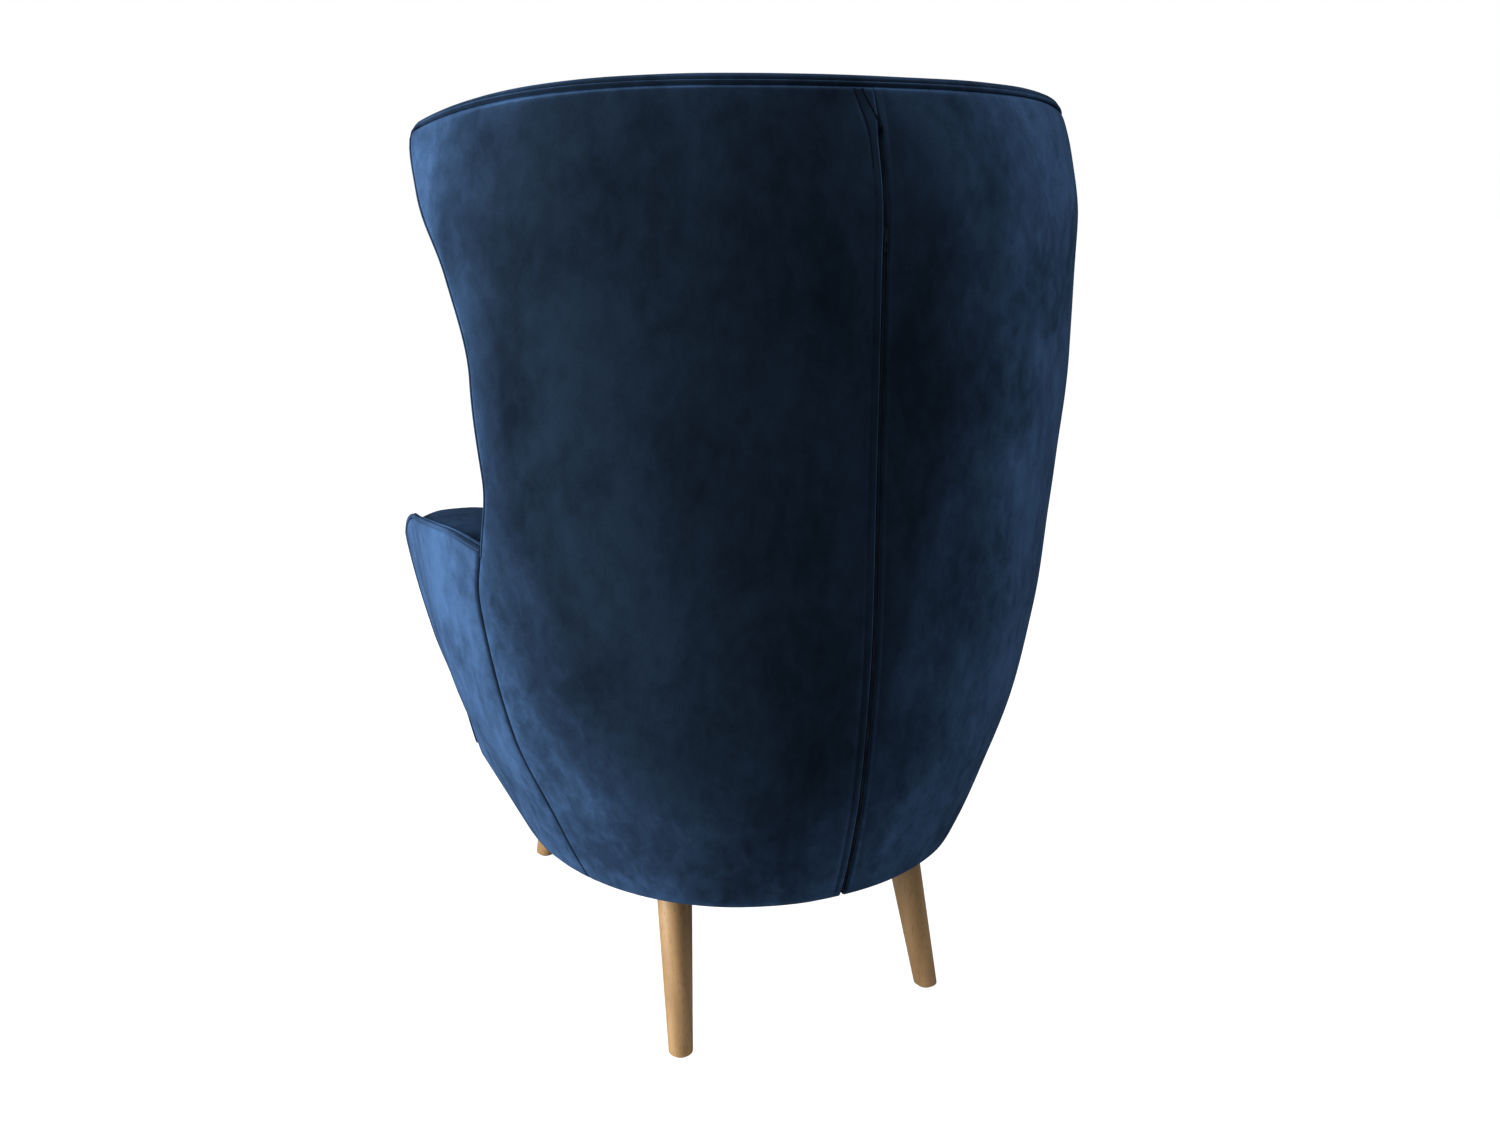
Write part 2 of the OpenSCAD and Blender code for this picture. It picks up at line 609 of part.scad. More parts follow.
module seat_cushion() {
    corner = 110;
    nose_r = (seat_top - NOSE_Z) / 2;
    color(VELVET * 1.2) intersection() {
        translate([-seat_half, 0, 0]) rotate([90, 0, 90]) linear_extrude(2 * seat_half) {
            translate([SEAT_FRONT + 1, CUSHION_Z]) square([SEAT_REAR - 3 - SEAT_FRONT, seat_top - CUSHION_Z]);
            translate([-seat_reach + nose_r, NOSE_Z]) square([100, 2 * nose_r]);
            translate([-seat_reach + nose_r, NOSE_Z + nose_r]) circle(r = nose_r);
        }
        translate([0, 0, CUSHION_Z - 1]) linear_extrude(200) {
            translate([-seat_half, -seat_reach - 1]) square([2 * seat_half, 90 + seat_reach + 1]);
            translate([corner - seat_half, 0]) square([2 * (seat_half - corner), 90 + corner]);
            for (s = [-1, 1]) translate([s * (seat_half - corner), 90]) circle(r = corner);
        }
    }
}

TILT_PLATE_IN = 150;
TILT_PLATE_T = 4;
module tilt_plates() {
    color("gray") both_sides() difference() {
        union() {
            box(TILT_PLATE_IN, TILT_PLATE_IN + TILT_PLATE_T, SEAT_REAR, 225, 280, TILT_Z + 15);
            box(TILT_PLATE_IN, TILT_PLATE_IN + TILT_PLATE_T, SEAT_REAR + 8, TILT_Y, TILT_Z - 15, TILT_Z + 15);
            rod_x(TILT_PLATE_IN, TILT_PLATE_IN + TILT_PLATE_T, TILT_Y, TILT_Z, 15);
        }
        rod_x(TILT_PLATE_IN - 1, TILT_PLATE_IN + TILT_PLATE_T + 1, TILT_Y, TILT_Z, TILT_R);
    }
}
module tilt_pins() {
    color("silver") both_sides() {
        rod_x(TILT_PLATE_IN - 34, TILT_PLATE_IN + TILT_PLATE_T, TILT_Y, TILT_Z, TILT_R);
        rod_x(TILT_PLATE_IN + TILT_PLATE_T, TILT_PLATE_IN + TILT_PLATE_T + 3, TILT_Y, TILT_Z, TILT_R + 3);
    }
}

FOOT_PLATE_X = 243;
FOOT_PIN_R = 4;
FOOT_EYE_R = 11;         // round end of the footrest's plates and arms
module foot_plates() {
    color("gray") both_sides() difference() {
        union() {
            box(FOOT_PLATE_X, FOOT_PLATE_X + 3, -foot_axis_y, SEAT_FRONT - PANEL_T,
                foot_axis_z - FOOT_EYE_R, foot_axis_z + FOOT_EYE_R);
            rod_x(FOOT_PLATE_X, FOOT_PLATE_X + 3, -foot_axis_y, foot_axis_z, FOOT_EYE_R);
        }
        rod_x(FOOT_PLATE_X - 1, FOOT_PLATE_X + 4, -foot_axis_y, foot_axis_z, FOOT_PIN_R);
    }
}
module foot_pins() {
    color("silver") both_sides() {
        rod_x(FOOT_PLATE_X - 5, FOOT_PLATE_X + 3, -foot_axis_y, foot_axis_z, FOOT_PIN_R);
        rod_x(FOOT_PLATE_X + 3, FOOT_PLATE_X + 5, -foot_axis_y, foot_axis_z, FOOT_PIN_R + 3);
    }
}

// ---- inner back, which tilts ----
function inner_half(z) = mix(BACK_LOW_HALF, back_half, max(0, min(1, (z - 620) / 90)));
module inner_back_board() {
    color("tan") loft([for (u = steps(-0.96, 0.96, 14))
        [for (d = [BACK_D, BACK_D + BACK_BOARD_T])
            [for (z = steps(BACK_Z, back_top - 24, 12))
                [u * inner_half(z), back_y(u * inner_half(z), z, d), z]]]]);
}
module tilt_rail() {
    half = TILT_PLATE_IN - 1;
    rear = [for (x = steps(-half, half, 12)) [x, back_y(x, BACK_Z, BACK_D + BACK_BOARD_T + 0.5)]];
    color("peru") difference() {
        translate([0, 0, BACK_Z]) linear_extrude(28)
            polygon(concat(rear, [[half, TILT_Y - 14], [-half, TILT_Y - 14]]));
        both_sides() rod_x(half - 35, half + 1, TILT_Y, TILT_Z, TILT_R + FIT);
    }
}
module back_cushion() {
    d = BACK_D + BACK_BOARD_T + 2;
    function front_y(u, z) =
        let (high = max(0, (z - BACK_CUSHION_Z) / (back_top - BACK_CUSHION_Z)), side_y = 158,
             mid_y = mix(198, 246, high), rounding = 34 * pow(high, 8))
        mix(mid_y, side_y, u * u) + rounding;
    color(VELVET * 1.2) loft([for (u = steps(-1, 1, 14))
        [[for (z = steps(BACK_CUSHION_Z, back_top, 12))
             [u * inner_half(z), back_y(u * inner_half(z), z, d), z]],
         [for (z = steps(BACK_CUSHION_Z, back_top, 12))
             [u * inner_half(z), min(front_y(u, z), back_y(u * inner_half(z), z, d) - 12), z]]]]);
}

// ---- footrest, which flips up ----
FOOT_HALF = 238;
module footrest_board() {
    rear = -foot_axis_y + foot_t / 2;
    color("peru") box(-FOOT_HALF - 1, FOOT_HALF + 1, rear - 12, rear, 230, 370);
}
module footrest_pad() {
    rear = -foot_axis_y + foot_t / 2;
    color(VELVET * 1.2) translate([-FOOT_HALF, 0, 0]) rotate([90, 0, 90]) linear_extrude(2 * FOOT_HALF)
        difference() {
            union() {
                translate([rear - foot_t, 226]) square([foot_t, foot_axis_z - 226]);
                translate([-foot_axis_y, foot_axis_z]) circle(r = foot_t / 2);
            }
            translate([rear - 12.5, 200]) square([20, 170.5]);
        }
}
module foot_arms() {
    color("gray") both_sides() difference() {
        union() {
            box(FOOT_HALF + 1, FOOT_HALF + 4, -foot_axis_y, -foot_axis_y + foot_t / 2, 330, foot_axis_z);
            rod_x(FOOT_HALF + 1, FOOT_HALF + 4, -foot_axis_y, foot_axis_z, FOOT_EYE_R);
        }
        rod_x(FOOT_HALF, FOOT_HALF + 5, -foot_axis_y, foot_axis_z, FOOT_PIN_R + FIT);
    }
}

base_board();
base_cross_rails();
base_side_rail_left();
base_side_rail_right();
leg_rear_left();
leg_rear_right();
leg_front_left();
leg_front_right();
floor_glides();
leg_bolts();
leg_plates();
dust_cover();
slide_fixed_left();
slide_fixed_right();
gas_cylinder();
gas_bracket();
back_posts();
wing_posts();
top_hoop();
waist_hoop();
arm_posts();
arm_rails();
tub_lining();
back_cover_left();
back_cover_right();
arm_cover_left();
arm_cover_right();
arm_pad_left();
arm_pad_right();
arm_face_left();
arm_face_right();
wing_pad_left();
wing_pad_right();
wing_face_left();
wing_face_right();
top_roll();
top_welt();
arm_welts();
front_apron();
zip_tape();
zip_slider();
seat_side_rails();
seat_cross_rails();
seat_front_panel();
seat_straps();
seat_cushion();
slide_moving_left();
slide_moving_right();
gas_rod();
tilt_plates();
tilt_pins();
foot_plates();
foot_pins();
inner_back_board();
tilt_rail();
back_cushion();
footrest_board();
footrest_pad();
foot_arms();
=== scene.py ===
"""Looks of the high-backed wing armchair: velvet covers, cushions, piping, zip, oak legs."""
import json
import math

import bpy
from mathutils import Matrix, Vector, noise


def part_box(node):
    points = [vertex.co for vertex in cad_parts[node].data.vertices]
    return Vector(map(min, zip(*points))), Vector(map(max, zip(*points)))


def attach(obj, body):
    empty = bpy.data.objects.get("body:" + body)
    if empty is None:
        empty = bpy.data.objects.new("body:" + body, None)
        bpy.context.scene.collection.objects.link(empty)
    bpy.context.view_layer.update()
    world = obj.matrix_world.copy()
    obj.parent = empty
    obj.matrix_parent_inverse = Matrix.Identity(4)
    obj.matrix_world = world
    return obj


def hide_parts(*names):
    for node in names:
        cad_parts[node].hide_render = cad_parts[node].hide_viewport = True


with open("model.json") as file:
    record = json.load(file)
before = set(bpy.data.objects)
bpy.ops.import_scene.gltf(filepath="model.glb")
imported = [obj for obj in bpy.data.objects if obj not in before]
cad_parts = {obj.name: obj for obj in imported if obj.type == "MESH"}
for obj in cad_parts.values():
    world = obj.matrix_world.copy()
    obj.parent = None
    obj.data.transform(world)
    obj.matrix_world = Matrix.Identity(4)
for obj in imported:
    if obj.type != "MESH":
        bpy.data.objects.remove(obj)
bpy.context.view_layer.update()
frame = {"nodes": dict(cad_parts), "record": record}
MM = 0.001

# ---------------------------------------------------------------- the tub's shape, in mm
HALF_W, REACH_B, CENTRE_Y, CORNER_N = 411, 356, 13, 2.1
UNDERSIDE, COVER_TOP, TOP_ARCH, ARCH_POWER = 205, 1080, 64, 3.4
ARM_REACH, CORNER_Z = 262, 1042
WELT_R, WELT_GAP = 2.4, 6
WIDTHS = [(205, .67), (235, .703), (300, .766), (400, .864), (520, .924),
          (660, .966), (800, 1), (940, 1), (1020, .973), (1080, .927)]
DEPTHS = [(205, .835), (260, .888), (360, .952), (550, 1), (950, 1), (1030, .958), (1080, .905)]
EDGES = [(205, 150), (560, 150), (620, 166), (700, 184), (800, 185), (900, 161),
         (980, 118), (1035, 92), (1080, 112)]
CLOSING = [(205, .01), (300, .068), (420, .1), (540, .097), (700, .1)]
ARM_TOPS = [(-262, 538), (-200, 566), (-120, 595), (-40, 616), (60, 631), (110, 633), (170, 622)]


def along(stations, x):
    """Smooth curve through stations, flat where they turn."""
    n = len(stations)
    i = 0
    while i < n - 2 and x >= stations[i + 1][0]:
        i += 1

    def slope(k):
        return (stations[k + 1][1] - stations[k][1]) / (stations[k + 1][0] - stations[k][0])

    def tangent(k):
        if k == 0:
            return slope(0)
        if k == n - 1:
            return slope(n - 2)
        a, b = slope(k - 1), slope(k)
        return 0 if a * b <= 0 else 2 * a * b / (a + b)

    w = stations[i + 1][0] - stations[i][0]
    u = min(1, max(0, (x - stations[i][0]) / w))
    return (stations[i][1] * (2 * u ** 3 - 3 * u * u + 1) + stations[i + 1][1] * (3 * u * u - 2 * u ** 3)
            + tangent(i) * w * (u ** 3 - 2 * u * u + u) + tangent(i + 1) * w * (u ** 3 - u * u))


def mix(a, b, u):
    return a + (b - a) * u


def ramp(a, b, x):
    """0 before a, 1 after b, smooth between."""
    u = min(1, max(0, (x - a) / (b - a)))
    return u * u * (3 - 2 * u)


def half_at(z, d=0):
    return HALF_W * along(WIDTHS, z) - d


def depth_at(z, d=0):
    return REACH_B * along(DEPTHS, z) - d


def edge_y(z):
    return along(EDGES, z)


def turn_at_y(y, z):
    return math.acos(min(1, max(0, (y - CENTRE_Y) / depth_at(z))) ** (CORNER_N / 2))


def turn_at_x(x, z):
    return math.asin((x / half_at(z)) ** (CORNER_N / 2))


def on_back(turn, z, d):
    """Point of the tub's surface, sunk by d, at a turn from the middle of the back."""
    return (half_at(z, d) * math.sin(turn) ** (2 / CORNER_N),
            CENTRE_Y + depth_at(z, d) * max(0, math.cos(turn)) ** (2 / CORNER_N), z)


def at_y(y, z, d):
    """Point of the tub's side, sunk by d, at a distance y."""
    if y > CENTRE_Y:
        share = min(1, (y - CENTRE_Y) / depth_at(z, d))
        return (half_at(z, d) * (1 - share ** CORNER_N) ** (1 / CORNER_N), y, z)
    return (half_at(z, d) - along(CLOSING, z) * (CENTRE_Y - y), y, z)


def at_x(x, z, d):
    """Point of the tub's back, sunk by d, at a distance x from the middle."""
    return (x, CENTRE_Y + depth_at(z, d) * (1 - (abs(x) / half_at(z, d)) ** CORNER_N) ** (1 / CORNER_N), z)


def top_z(turn):
    return COVER_TOP - TOP_ARCH * (math.degrees(turn) / 90) ** ARCH_POWER


def arm_z(y):
    return along(ARM_TOPS, min(170, max(-ARM_REACH, y)))


# ---------------------------------------------------------------- modelling helpers
def deselect():
    if bpy.context.object and bpy.context.object.mode != "OBJECT":
        bpy.ops.object.mode_set(mode="OBJECT")
    bpy.ops.object.select_all(action="DESELECT")


def activate(piece):
    deselect()
    piece.select_set(True)
    bpy.context.view_layer.objects.active = piece


def modify(piece, kind, **settings):
    """Adds a modifier and applies it."""
    modifier = piece.modifiers.new(kind.lower(), kind)
    for key, value in settings.items():
        setattr(modifier, key, value)
    activate(piece)
    bpy.ops.object.modifier_apply(modifier=modifier.name)


def edit(piece, *steps):
    """Runs edit-mode steps on the whole piece."""
    activate(piece)
    bpy.ops.object.mode_set(mode="EDIT")
    bpy.ops.mesh.select_all(action="SELECT")
    for step in steps:
        step()
    bpy.ops.object.mode_set(mode="OBJECT")


def outward():
    bpy.ops.mesh.normals_make_consistent(inside=False)


def smooth(piece, angle=None):
    activate(piece)
    if angle is None:
        bpy.ops.object.shade_smooth()
    else:
        bpy.ops.object.shade_smooth_by_angle(angle=math.radians(angle))


def dress(piece, material, slot, body, *nodes, fill=None):
    """Gives a piece its material and the body it rides on, and hides the nodes it stands for. The slot is
    not used.
    """
    piece.data.materials.clear()
    piece.data.materials.append(material)
    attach(piece, body)
    if nodes:
        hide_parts(*nodes)
    return piece


def copy_of(node, name):
    """A copy of a frame node's mesh as a new piece, with its loose triangles joined."""
    piece = bpy.data.objects.new(name, frame["nodes"][node].data.copy())
    bpy.context.scene.collection.objects.link(piece)
    for attribute in ("custom_normal",):
        if attribute in piece.data.attributes:
            piece.data.attributes.remove(piece.data.attributes[attribute])
    edit(piece, lambda: bpy.ops.mesh.remove_doubles(threshold=0.0002), outward,
         lambda: bpy.ops.mesh.tris_convert_to_quads(
             face_threshold=math.radians(25), shape_threshold=math.radians(60)))
    return piece


def draped(name, columns, rows, place):
    """A grid laid over a shape: place(column, row) gives each point in mm."""
    deselect()
    bpy.ops.mesh.primitive_grid_add(x_subdivisions=columns, y_subdivisions=rows, size=2)
    piece = bpy.context.object
    piece.name = name
    for v in piece.data.vertices:
        i, j = round((v.co.x + 1) / 2 * columns), round((v.co.y + 1) / 2 * rows)
        v.co = Vector(place(i, j)) * MM
    piece.data.update()
    facing = sum((f.center - Vector((0, min(0.05, f.center.y), f.center.z))).dot(f.normal) * f.area
                 for f in piece.data.polygons)
    if facing < 0:
        edit(piece, bpy.ops.mesh.flip_normals)
    return piece


def piping(name, points, radius, closed=False, sides=4):
    """A round cord of cloth through points in mm."""
    curve = bpy.data.curves.new(name, "CURVE")
    curve.dimensions = "3D"
    curve.bevel_depth = radius * MM
    curve.bevel_resolution = sides
    curve.use_fill_caps = not closed
    line = curve.splines.new("POLY")
    line.points.add(len(points) - 1)
    for p, q in zip(line.points, points):
        p.co = (*(Vector(q) * MM), 1)
    line.use_cyclic_u = closed
    piece = bpy.data.objects.new(name, curve)
    bpy.context.scene.collection.objects.link(piece)
    activate(piece)
    bpy.ops.object.convert(target="MESH")
    piece = bpy.context.object
    edit(piece, lambda: bpy.ops.mesh.remove_doubles(threshold=0.00002), outward)
    smooth(piece, 50)
    return piece


def joined(name, pieces):
    activate(pieces[0])
    for p in pieces:
        p.select_set(True)
    bpy.ops.object.join()
    pieces[0].name = name
    return pieces[0]


def mirrored(piece, name):
    """The same shape on the other side, with its own mesh."""
    twin = bpy.data.objects.new(name, piece.data.copy())
    bpy.context.scene.collection.objects.link(twin)
    twin.data.transform(Matrix.Scale(-1, 4, (1, 0, 0)))
    edit(twin, bpy.ops.mesh.flip_normals)
    return twin


def waver(p, size, height, seed):
    """Small swell of a stuffed surface, in mm."""
    return height * noise.noise(Vector((p[0] / size + seed, p[1] / size, p[2] / size)))


FILL_PRESSURE, FILL_FRAMES = 4.0, 20


def plump(piece, voxel, shrink, cap):
    """Fills a soft piece with air by cloth simulation, no point moving further than cap (mm)."""
    modify(piece, "REMESH", mode="VOXEL", voxel_size=voxel * MM)
    mesh = piece.data
    mesh.update()
    moves = [v.normal * shrink * MM for v in mesh.vertices]
    for v, m in zip(mesh.vertices, moves):
        v.co -= m
    modify(piece, "SMOOTH", factor=0.5, iterations=3)
    rest = [v.co.copy() for v in mesh.vertices]
    cloth = piece.modifiers.new("filling", "CLOTH")
    cloth.settings.quality = 4
    cloth.settings.mass = 0.3
    cloth.settings.tension_stiffness = 12
    cloth.settings.compression_stiffness = 12
    cloth.settings.shear_stiffness = 4
    cloth.settings.bending_stiffness = 0.6
    cloth.settings.use_pressure = True
    cloth.settings.uniform_pressure_force = FILL_PRESSURE
    cloth.settings.effector_weights.gravity = 0
    cloth.point_cache.frame_start = 1
    cloth.point_cache.frame_end = FILL_FRAMES
    scene = bpy.context.scene
    for f in range(1, FILL_FRAMES + 1):
        scene.frame_set(f)
    activate(piece)
    bpy.ops.object.modifier_apply(modifier=cloth.name)
    scene.frame_set(1)
    for v, r in zip(piece.data.vertices, rest):
        move = v.co - r
        if move.length > cap * MM:
            v.co = r + move.normalized() * cap * MM
    modify(piece, "SMOOTH", factor=0.5, iterations=4)
    modify(piece, "SUBSURF", levels=1, render_levels=1)
    smooth(piece)
    return piece


# ---------------------------------------------------------------- materials
def group(name, inputs, outputs):
    tree = bpy.data.node_groups.new(name, "ShaderNodeTree")
    for label, kind, value in inputs:
        socket = tree.interface.new_socket(label, in_out="INPUT", socket_type=kind)
        if value is not None:
            socket.default_value = value
    for label, kind in outputs:
        tree.interface.new_socket(label, in_out="OUTPUT", socket_type=kind)
    return tree, tree.nodes.new("NodeGroupInput"), tree.nodes.new("NodeGroupOutput")


def node(tree, kind, **inputs):
    made = tree.nodes.new("ShaderNode" + kind)
    for key, value in inputs.items():
        if key in ("operation", "data_type", "blend_type", "noise_dimensions", "wave_type",
                   "bands_direction", "feature", "wave_profile"):
            setattr(made, key, value)
    return made


def link(tree, a, b):
    tree.links.new(a, b)


def number(tree, operation, a, b=None, clamp=False):
    made = node(tree, "Math", operation=operation)
    made.use_clamp = clamp
    for socket, value in zip(made.inputs, (a, b)):
        if value is None:
            continue
        if isinstance(value, (int, float)):
            socket.default_value = value
        else:
            link(tree, value, socket)
    return made.outputs[0]


def blend_colour(tree, share, a, b, kind="MIX"):
    made = node(tree, "Mix", data_type="RGBA", blend_type=kind)
    for socket, value in ((made.inputs[0], share), (made.inputs[6], a), (made.inputs[7], b)):
        if isinstance(value, (int, float)):
            socket.default_value = value
        elif isinstance(value, tuple):
            socket.default_value = (*value, 1)
        else:
            link(tree, value, socket)
    return made.outputs[2]


def cloud(tree, place, scale, detail=3, rough=0.5, distortion=0.0):
    made = node(tree, "TexNoise")
    made.inputs["Scale"].default_value = scale
    made.inputs["Detail"].default_value = detail
    made.inputs["Roughness"].default_value = rough
    made.inputs["Distortion"].default_value = distortion
    link(tree, place, made.inputs["Vector"])
    return made.outputs["Fac"]


def spread(tree, value, low, high, to_low=0.0, to_high=1.0):
    made = node(tree, "MapRange")
    made.inputs["From Min"].default_value = low
    made.inputs["From Max"].default_value = high
    made.inputs["To Min"].default_value = to_low
    made.inputs["To Max"].default_value = to_high
    link(tree, value, made.inputs["Value"])
    return made.outputs["Result"]


def velvet_pile():
    """Cut pile: brushed patches, a fine fibre and its height."""
    tree, given, out = group("velvet_pile", [("Vector", "NodeSocketVector", None)],
                             [("Brushed", "NodeSocketFloat"), ("Fibre", "NodeSocketFloat"),
                              ("Height", "NodeSocketFloat")])
    place = given.outputs["Vector"]
    lying = node(tree, "Mapping")
    lying.inputs["Scale"].default_value = (1.2, 1.2, 0.8)
    link(tree, place, lying.inputs["Vector"])
    wide = cloud(tree, lying.outputs[0], 7, 3, 0.5, 0.5)
    near = cloud(tree, lying.outputs[0], 46, 3, 0.65, 0.3)
    fibre = cloud(tree, place, 900, 2, 0.7)
    grains = cloud(tree, place, 260, 2, 0.6)
    brushed = number(tree, "ADD", number(tree, "MULTIPLY", wide, 0.65),
                     number(tree, "MULTIPLY", near, 0.35))
    link(tree, spread(tree, brushed, 0.34, 0.66), out.inputs["Brushed"])
    link(tree, fibre, out.inputs["Fibre"])
    height = number(tree, "ADD", number(tree, "MULTIPLY", fibre, 0.5),
                    number(tree, "MULTIPLY", grains, 0.5))
    link(tree, height, out.inputs["Height"])
    return tree


def grain_lines():
    """Wood grain along Z: rings, pores and broad patches."""
    tree, given, out = group("grain_lines", [("Vector", "NodeSocketVector", None),
                                             ("Rings", "NodeSocketFloat", 14.0)],
                             [("Ring", "NodeSocketFloat"), ("Pore", "NodeSocketFloat"),
                              ("Patch", "NodeSocketFloat")])
    stretch = node(tree, "Mapping")
    stretch.inputs["Scale"].default_value = (1, 1, 0.09)
    link(tree, given.outputs["Vector"], stretch.inputs["Vector"])
    wave = node(tree, "TexWave", wave_type="BANDS", bands_direction="X")
    wave.inputs["Distortion"].default_value = 7
    wave.inputs["Detail"].default_value = 3
    wave.inputs["Detail Scale"].default_value = 1.4
    link(tree, stretch.outputs[0], wave.inputs["Vector"])
    link(tree, given.outputs["Rings"], wave.inputs["Scale"])
    link(tree, wave.outputs["Fac"], out.inputs["Ring"])
    pore = node(tree, "Mapping")
    pore.inputs["Scale"].default_value = (1, 1, 0.03)
    link(tree, given.outputs["Vector"], pore.inputs["Vector"])
    link(tree, spread(tree, cloud(tree, pore.outputs[0], 620, 2, 0.6), 0.56, 0.7),
         out.inputs["Pore"])
    link(tree, cloud(tree, stretch.outputs[0], 22, 3, 0.5), out.inputs["Patch"])
    return tree


def woven_threads():
    """Plain weave: threads both ways, over and under."""
    tree, given, out = group("woven_threads", [("Vector", "NodeSocketVector", None),
                                               ("Threads", "NodeSocketFloat", 300.0)],
                             [("Thread", "NodeSocketFloat")])
    waves = []
    for way in ("X", "DIAGONAL"):
        wave = node(tree, "TexWave", wave_type="BANDS", bands_direction=way)
        link(tree, given.outputs["Vector"], wave.inputs["Vector"])
        link(tree, given.outputs["Threads"], wave.inputs["Scale"])
        waves.append(wave.outputs["Fac"])
    link(tree, number(tree, "MULTIPLY", *waves), out.inputs["Thread"])
    return tree


def speckle():
    """Fine unevenness of plated and coated metal or moulded plastic."""
    tree, given, out = group("speckle", [("Vector", "NodeSocketVector", None),
                                         ("Size", "NodeSocketFloat", 400.0)],
                             [("Speck", "NodeSocketFloat"), ("Wear", "NodeSocketFloat")])
    made = node(tree, "TexNoise")
    made.inputs["Detail"].default_value = 3
    link(tree, given.outputs["Vector"], made.inputs["Vector"])
    link(tree, given.outputs["Size"], made.inputs["Scale"])
    link(tree, made.outputs["Fac"], out.inputs["Speck"])
    link(tree, cloud(tree, given.outputs["Vector"], 30, 4, 0.6), out.inputs["Wear"])
    return tree


PILE, GRAIN, WEAVE, SPECKLE = velvet_pile(), grain_lines(), woven_threads(), speckle()


def blank(name, effect, **settings):
    """A material with its shader, object coordinates and one effect group placed."""
    material = bpy.data.materials.new(name)
    material.use_nodes = True
    tree = material.node_tree
    shader = next(n for n in tree.nodes if n.type == "BSDF_PRINCIPLED")
    for key, value in settings.items():
        socket = shader.inputs[key.replace("_", " ")]
        socket.default_value = (*value, 1) if isinstance(value, tuple) else value
    where = node(tree, "TexCoord").outputs["Object"]
    placed = tree.nodes.new("ShaderNodeGroup")
    placed.node_tree = effect
    link(tree, where, placed.inputs["Vector"])
    return material, tree, shader, placed


def bump(tree, shader, height, strength, distance):
    made = node(tree, "Bump")
    made.inputs["Strength"].default_value = strength
    made.inputs["Distance"].default_value = distance
    link(tree, height, made.inputs["Height"])
    link(tree, made.outputs[0], shader.inputs["Normal"])


# painted sheen in the base colour: tilt of the surface to the viewer, share of the painted sheen colour
SHEEN_STOPS = [(0.18, 0.05), (0.34, 0.3), (0.48, 0.8), (0.62, 1.0)]


def velvet(name, deep, sheen_paint, sheen):
    """Base colour with painted sheen: the deep colour where the surface faces the viewer, the painted
    sheen colour where it is seen at a slant.
    """
    material, tree, shader, pile = blank(
        name, PILE, Roughness=0.9, Sheen_Weight=sheen, Sheen_Roughness=0.4,
        Sheen_Tint=(0.25, 0.5, 1.0), Specular_IOR_Level=0.04)
    facing = node(tree, "LayerWeight")
    facing.inputs["Blend"].default_value = 0.5
    sheen_ramp = tree.nodes.new("ShaderNodeValToRGB")
    sheen_ramp.color_ramp.interpolation = "EASE"
    stops = sheen_ramp.color_ramp.elements
    stops.remove(stops[-1])
    for place, value in SHEEN_STOPS:
        stop = stops.new(place)
        stop.color = (value, value, value, 1)
    link(tree, facing.outputs["Facing"], sheen_ramp.inputs[0])
    patch = spread(tree, pile.outputs["Brushed"], 0, 1, 0.7, 1.2)
    share = number(tree, "MULTIPLY", sheen_ramp.outputs[0], patch, clamp=True)
    colour = blend_colour(tree, share, deep, sheen_paint)
    fleck = number(tree, "MULTIPLY", spread(tree, pile.outputs["Fibre"], 0.3, 0.7, 0.82, 1.16),
                   spread(tree, pile.outputs["Brushed"], 0.1, 0.9, 0.66, 1.34))
    grey = node(tree, "CombineColor")
    for socket in grey.inputs[:3]:
        link(tree, fleck, socket)
    colour = blend_colour(tree, 1.0, colour, grey.outputs[0], "MULTIPLY")
    link(tree, colour, shader.inputs["Base Color"])
    link(tree, spread(tree, pile.outputs["Brushed"], 0, 1, 0.96, 0.84), shader.inputs["Roughness"])
    bump(tree, shader, pile.outputs["Height"], 0.35, 0.0006)
    return material


def wood(name, pale, dark, rings, gloss, coat):
    material, tree, shader, grain = blank(name, GRAIN, Roughness=gloss, Coat_Weight=coat,
                                          Coat_Roughness=0.3)
    grain.inputs["Rings"].default_value = rings
    share = number(tree, "ADD", number(tree, "MULTIPLY", grain.outputs["Ring"], 0.55),
                   number(tree, "MULTIPLY", grain.outputs["Patch"], 0.45), clamp=True)
    colour = blend_colour(tree, share, pale, dark)
    soft = number(tree, "MULTIPLY", grain.outputs["Pore"], 0.5)
    colour = blend_colour(tree, soft, colour, tuple(c * 0.45 for c in dark))
    link(tree, colour, shader.inputs["Base Color"])
    link(tree, spread(tree, grain.outputs["Patch"], 0.3, 0.7, gloss - 0.06, gloss + 0.08),
         shader.inputs["Roughness"])
    bump(tree, shader, grain.outputs["Pore"], 0.25, -0.0002)
    return material


def metal(name, colour, worn, size, rough, metallic, depth):
    material, tree, shader, skin = blank(name, SPECKLE, Metallic=metallic)
    skin.inputs["Size"].default_value = size
    share = spread(tree, skin.outputs["Wear"], 0.4, 0.68)
    link(tree, blend_colour(tree, share, colour, worn), shader.inputs["Base Color"])
    link(tree, spread(tree, skin.outputs["Speck"], 0.3, 0.7, rough - 0.08, rough + 0.1),
         shader.inputs["Roughness"])
    bump(tree, shader, skin.outputs["Speck"], 0.2, depth)
    return material


def woven(name, colour, thread_colour, threads, rough):
    material, tree, shader, weave = blank(name, WEAVE, Roughness=rough, Specular_IOR_Level=0.1)
    weave.inputs["Threads"].default_value = threads
    link(tree, blend_colour(tree, weave.outputs["Thread"], colour, thread_colour),
         shader.inputs["Base Color"])
    bump(tree, shader, weave.outputs["Thread"], 0.5, 0.0004)
    return material
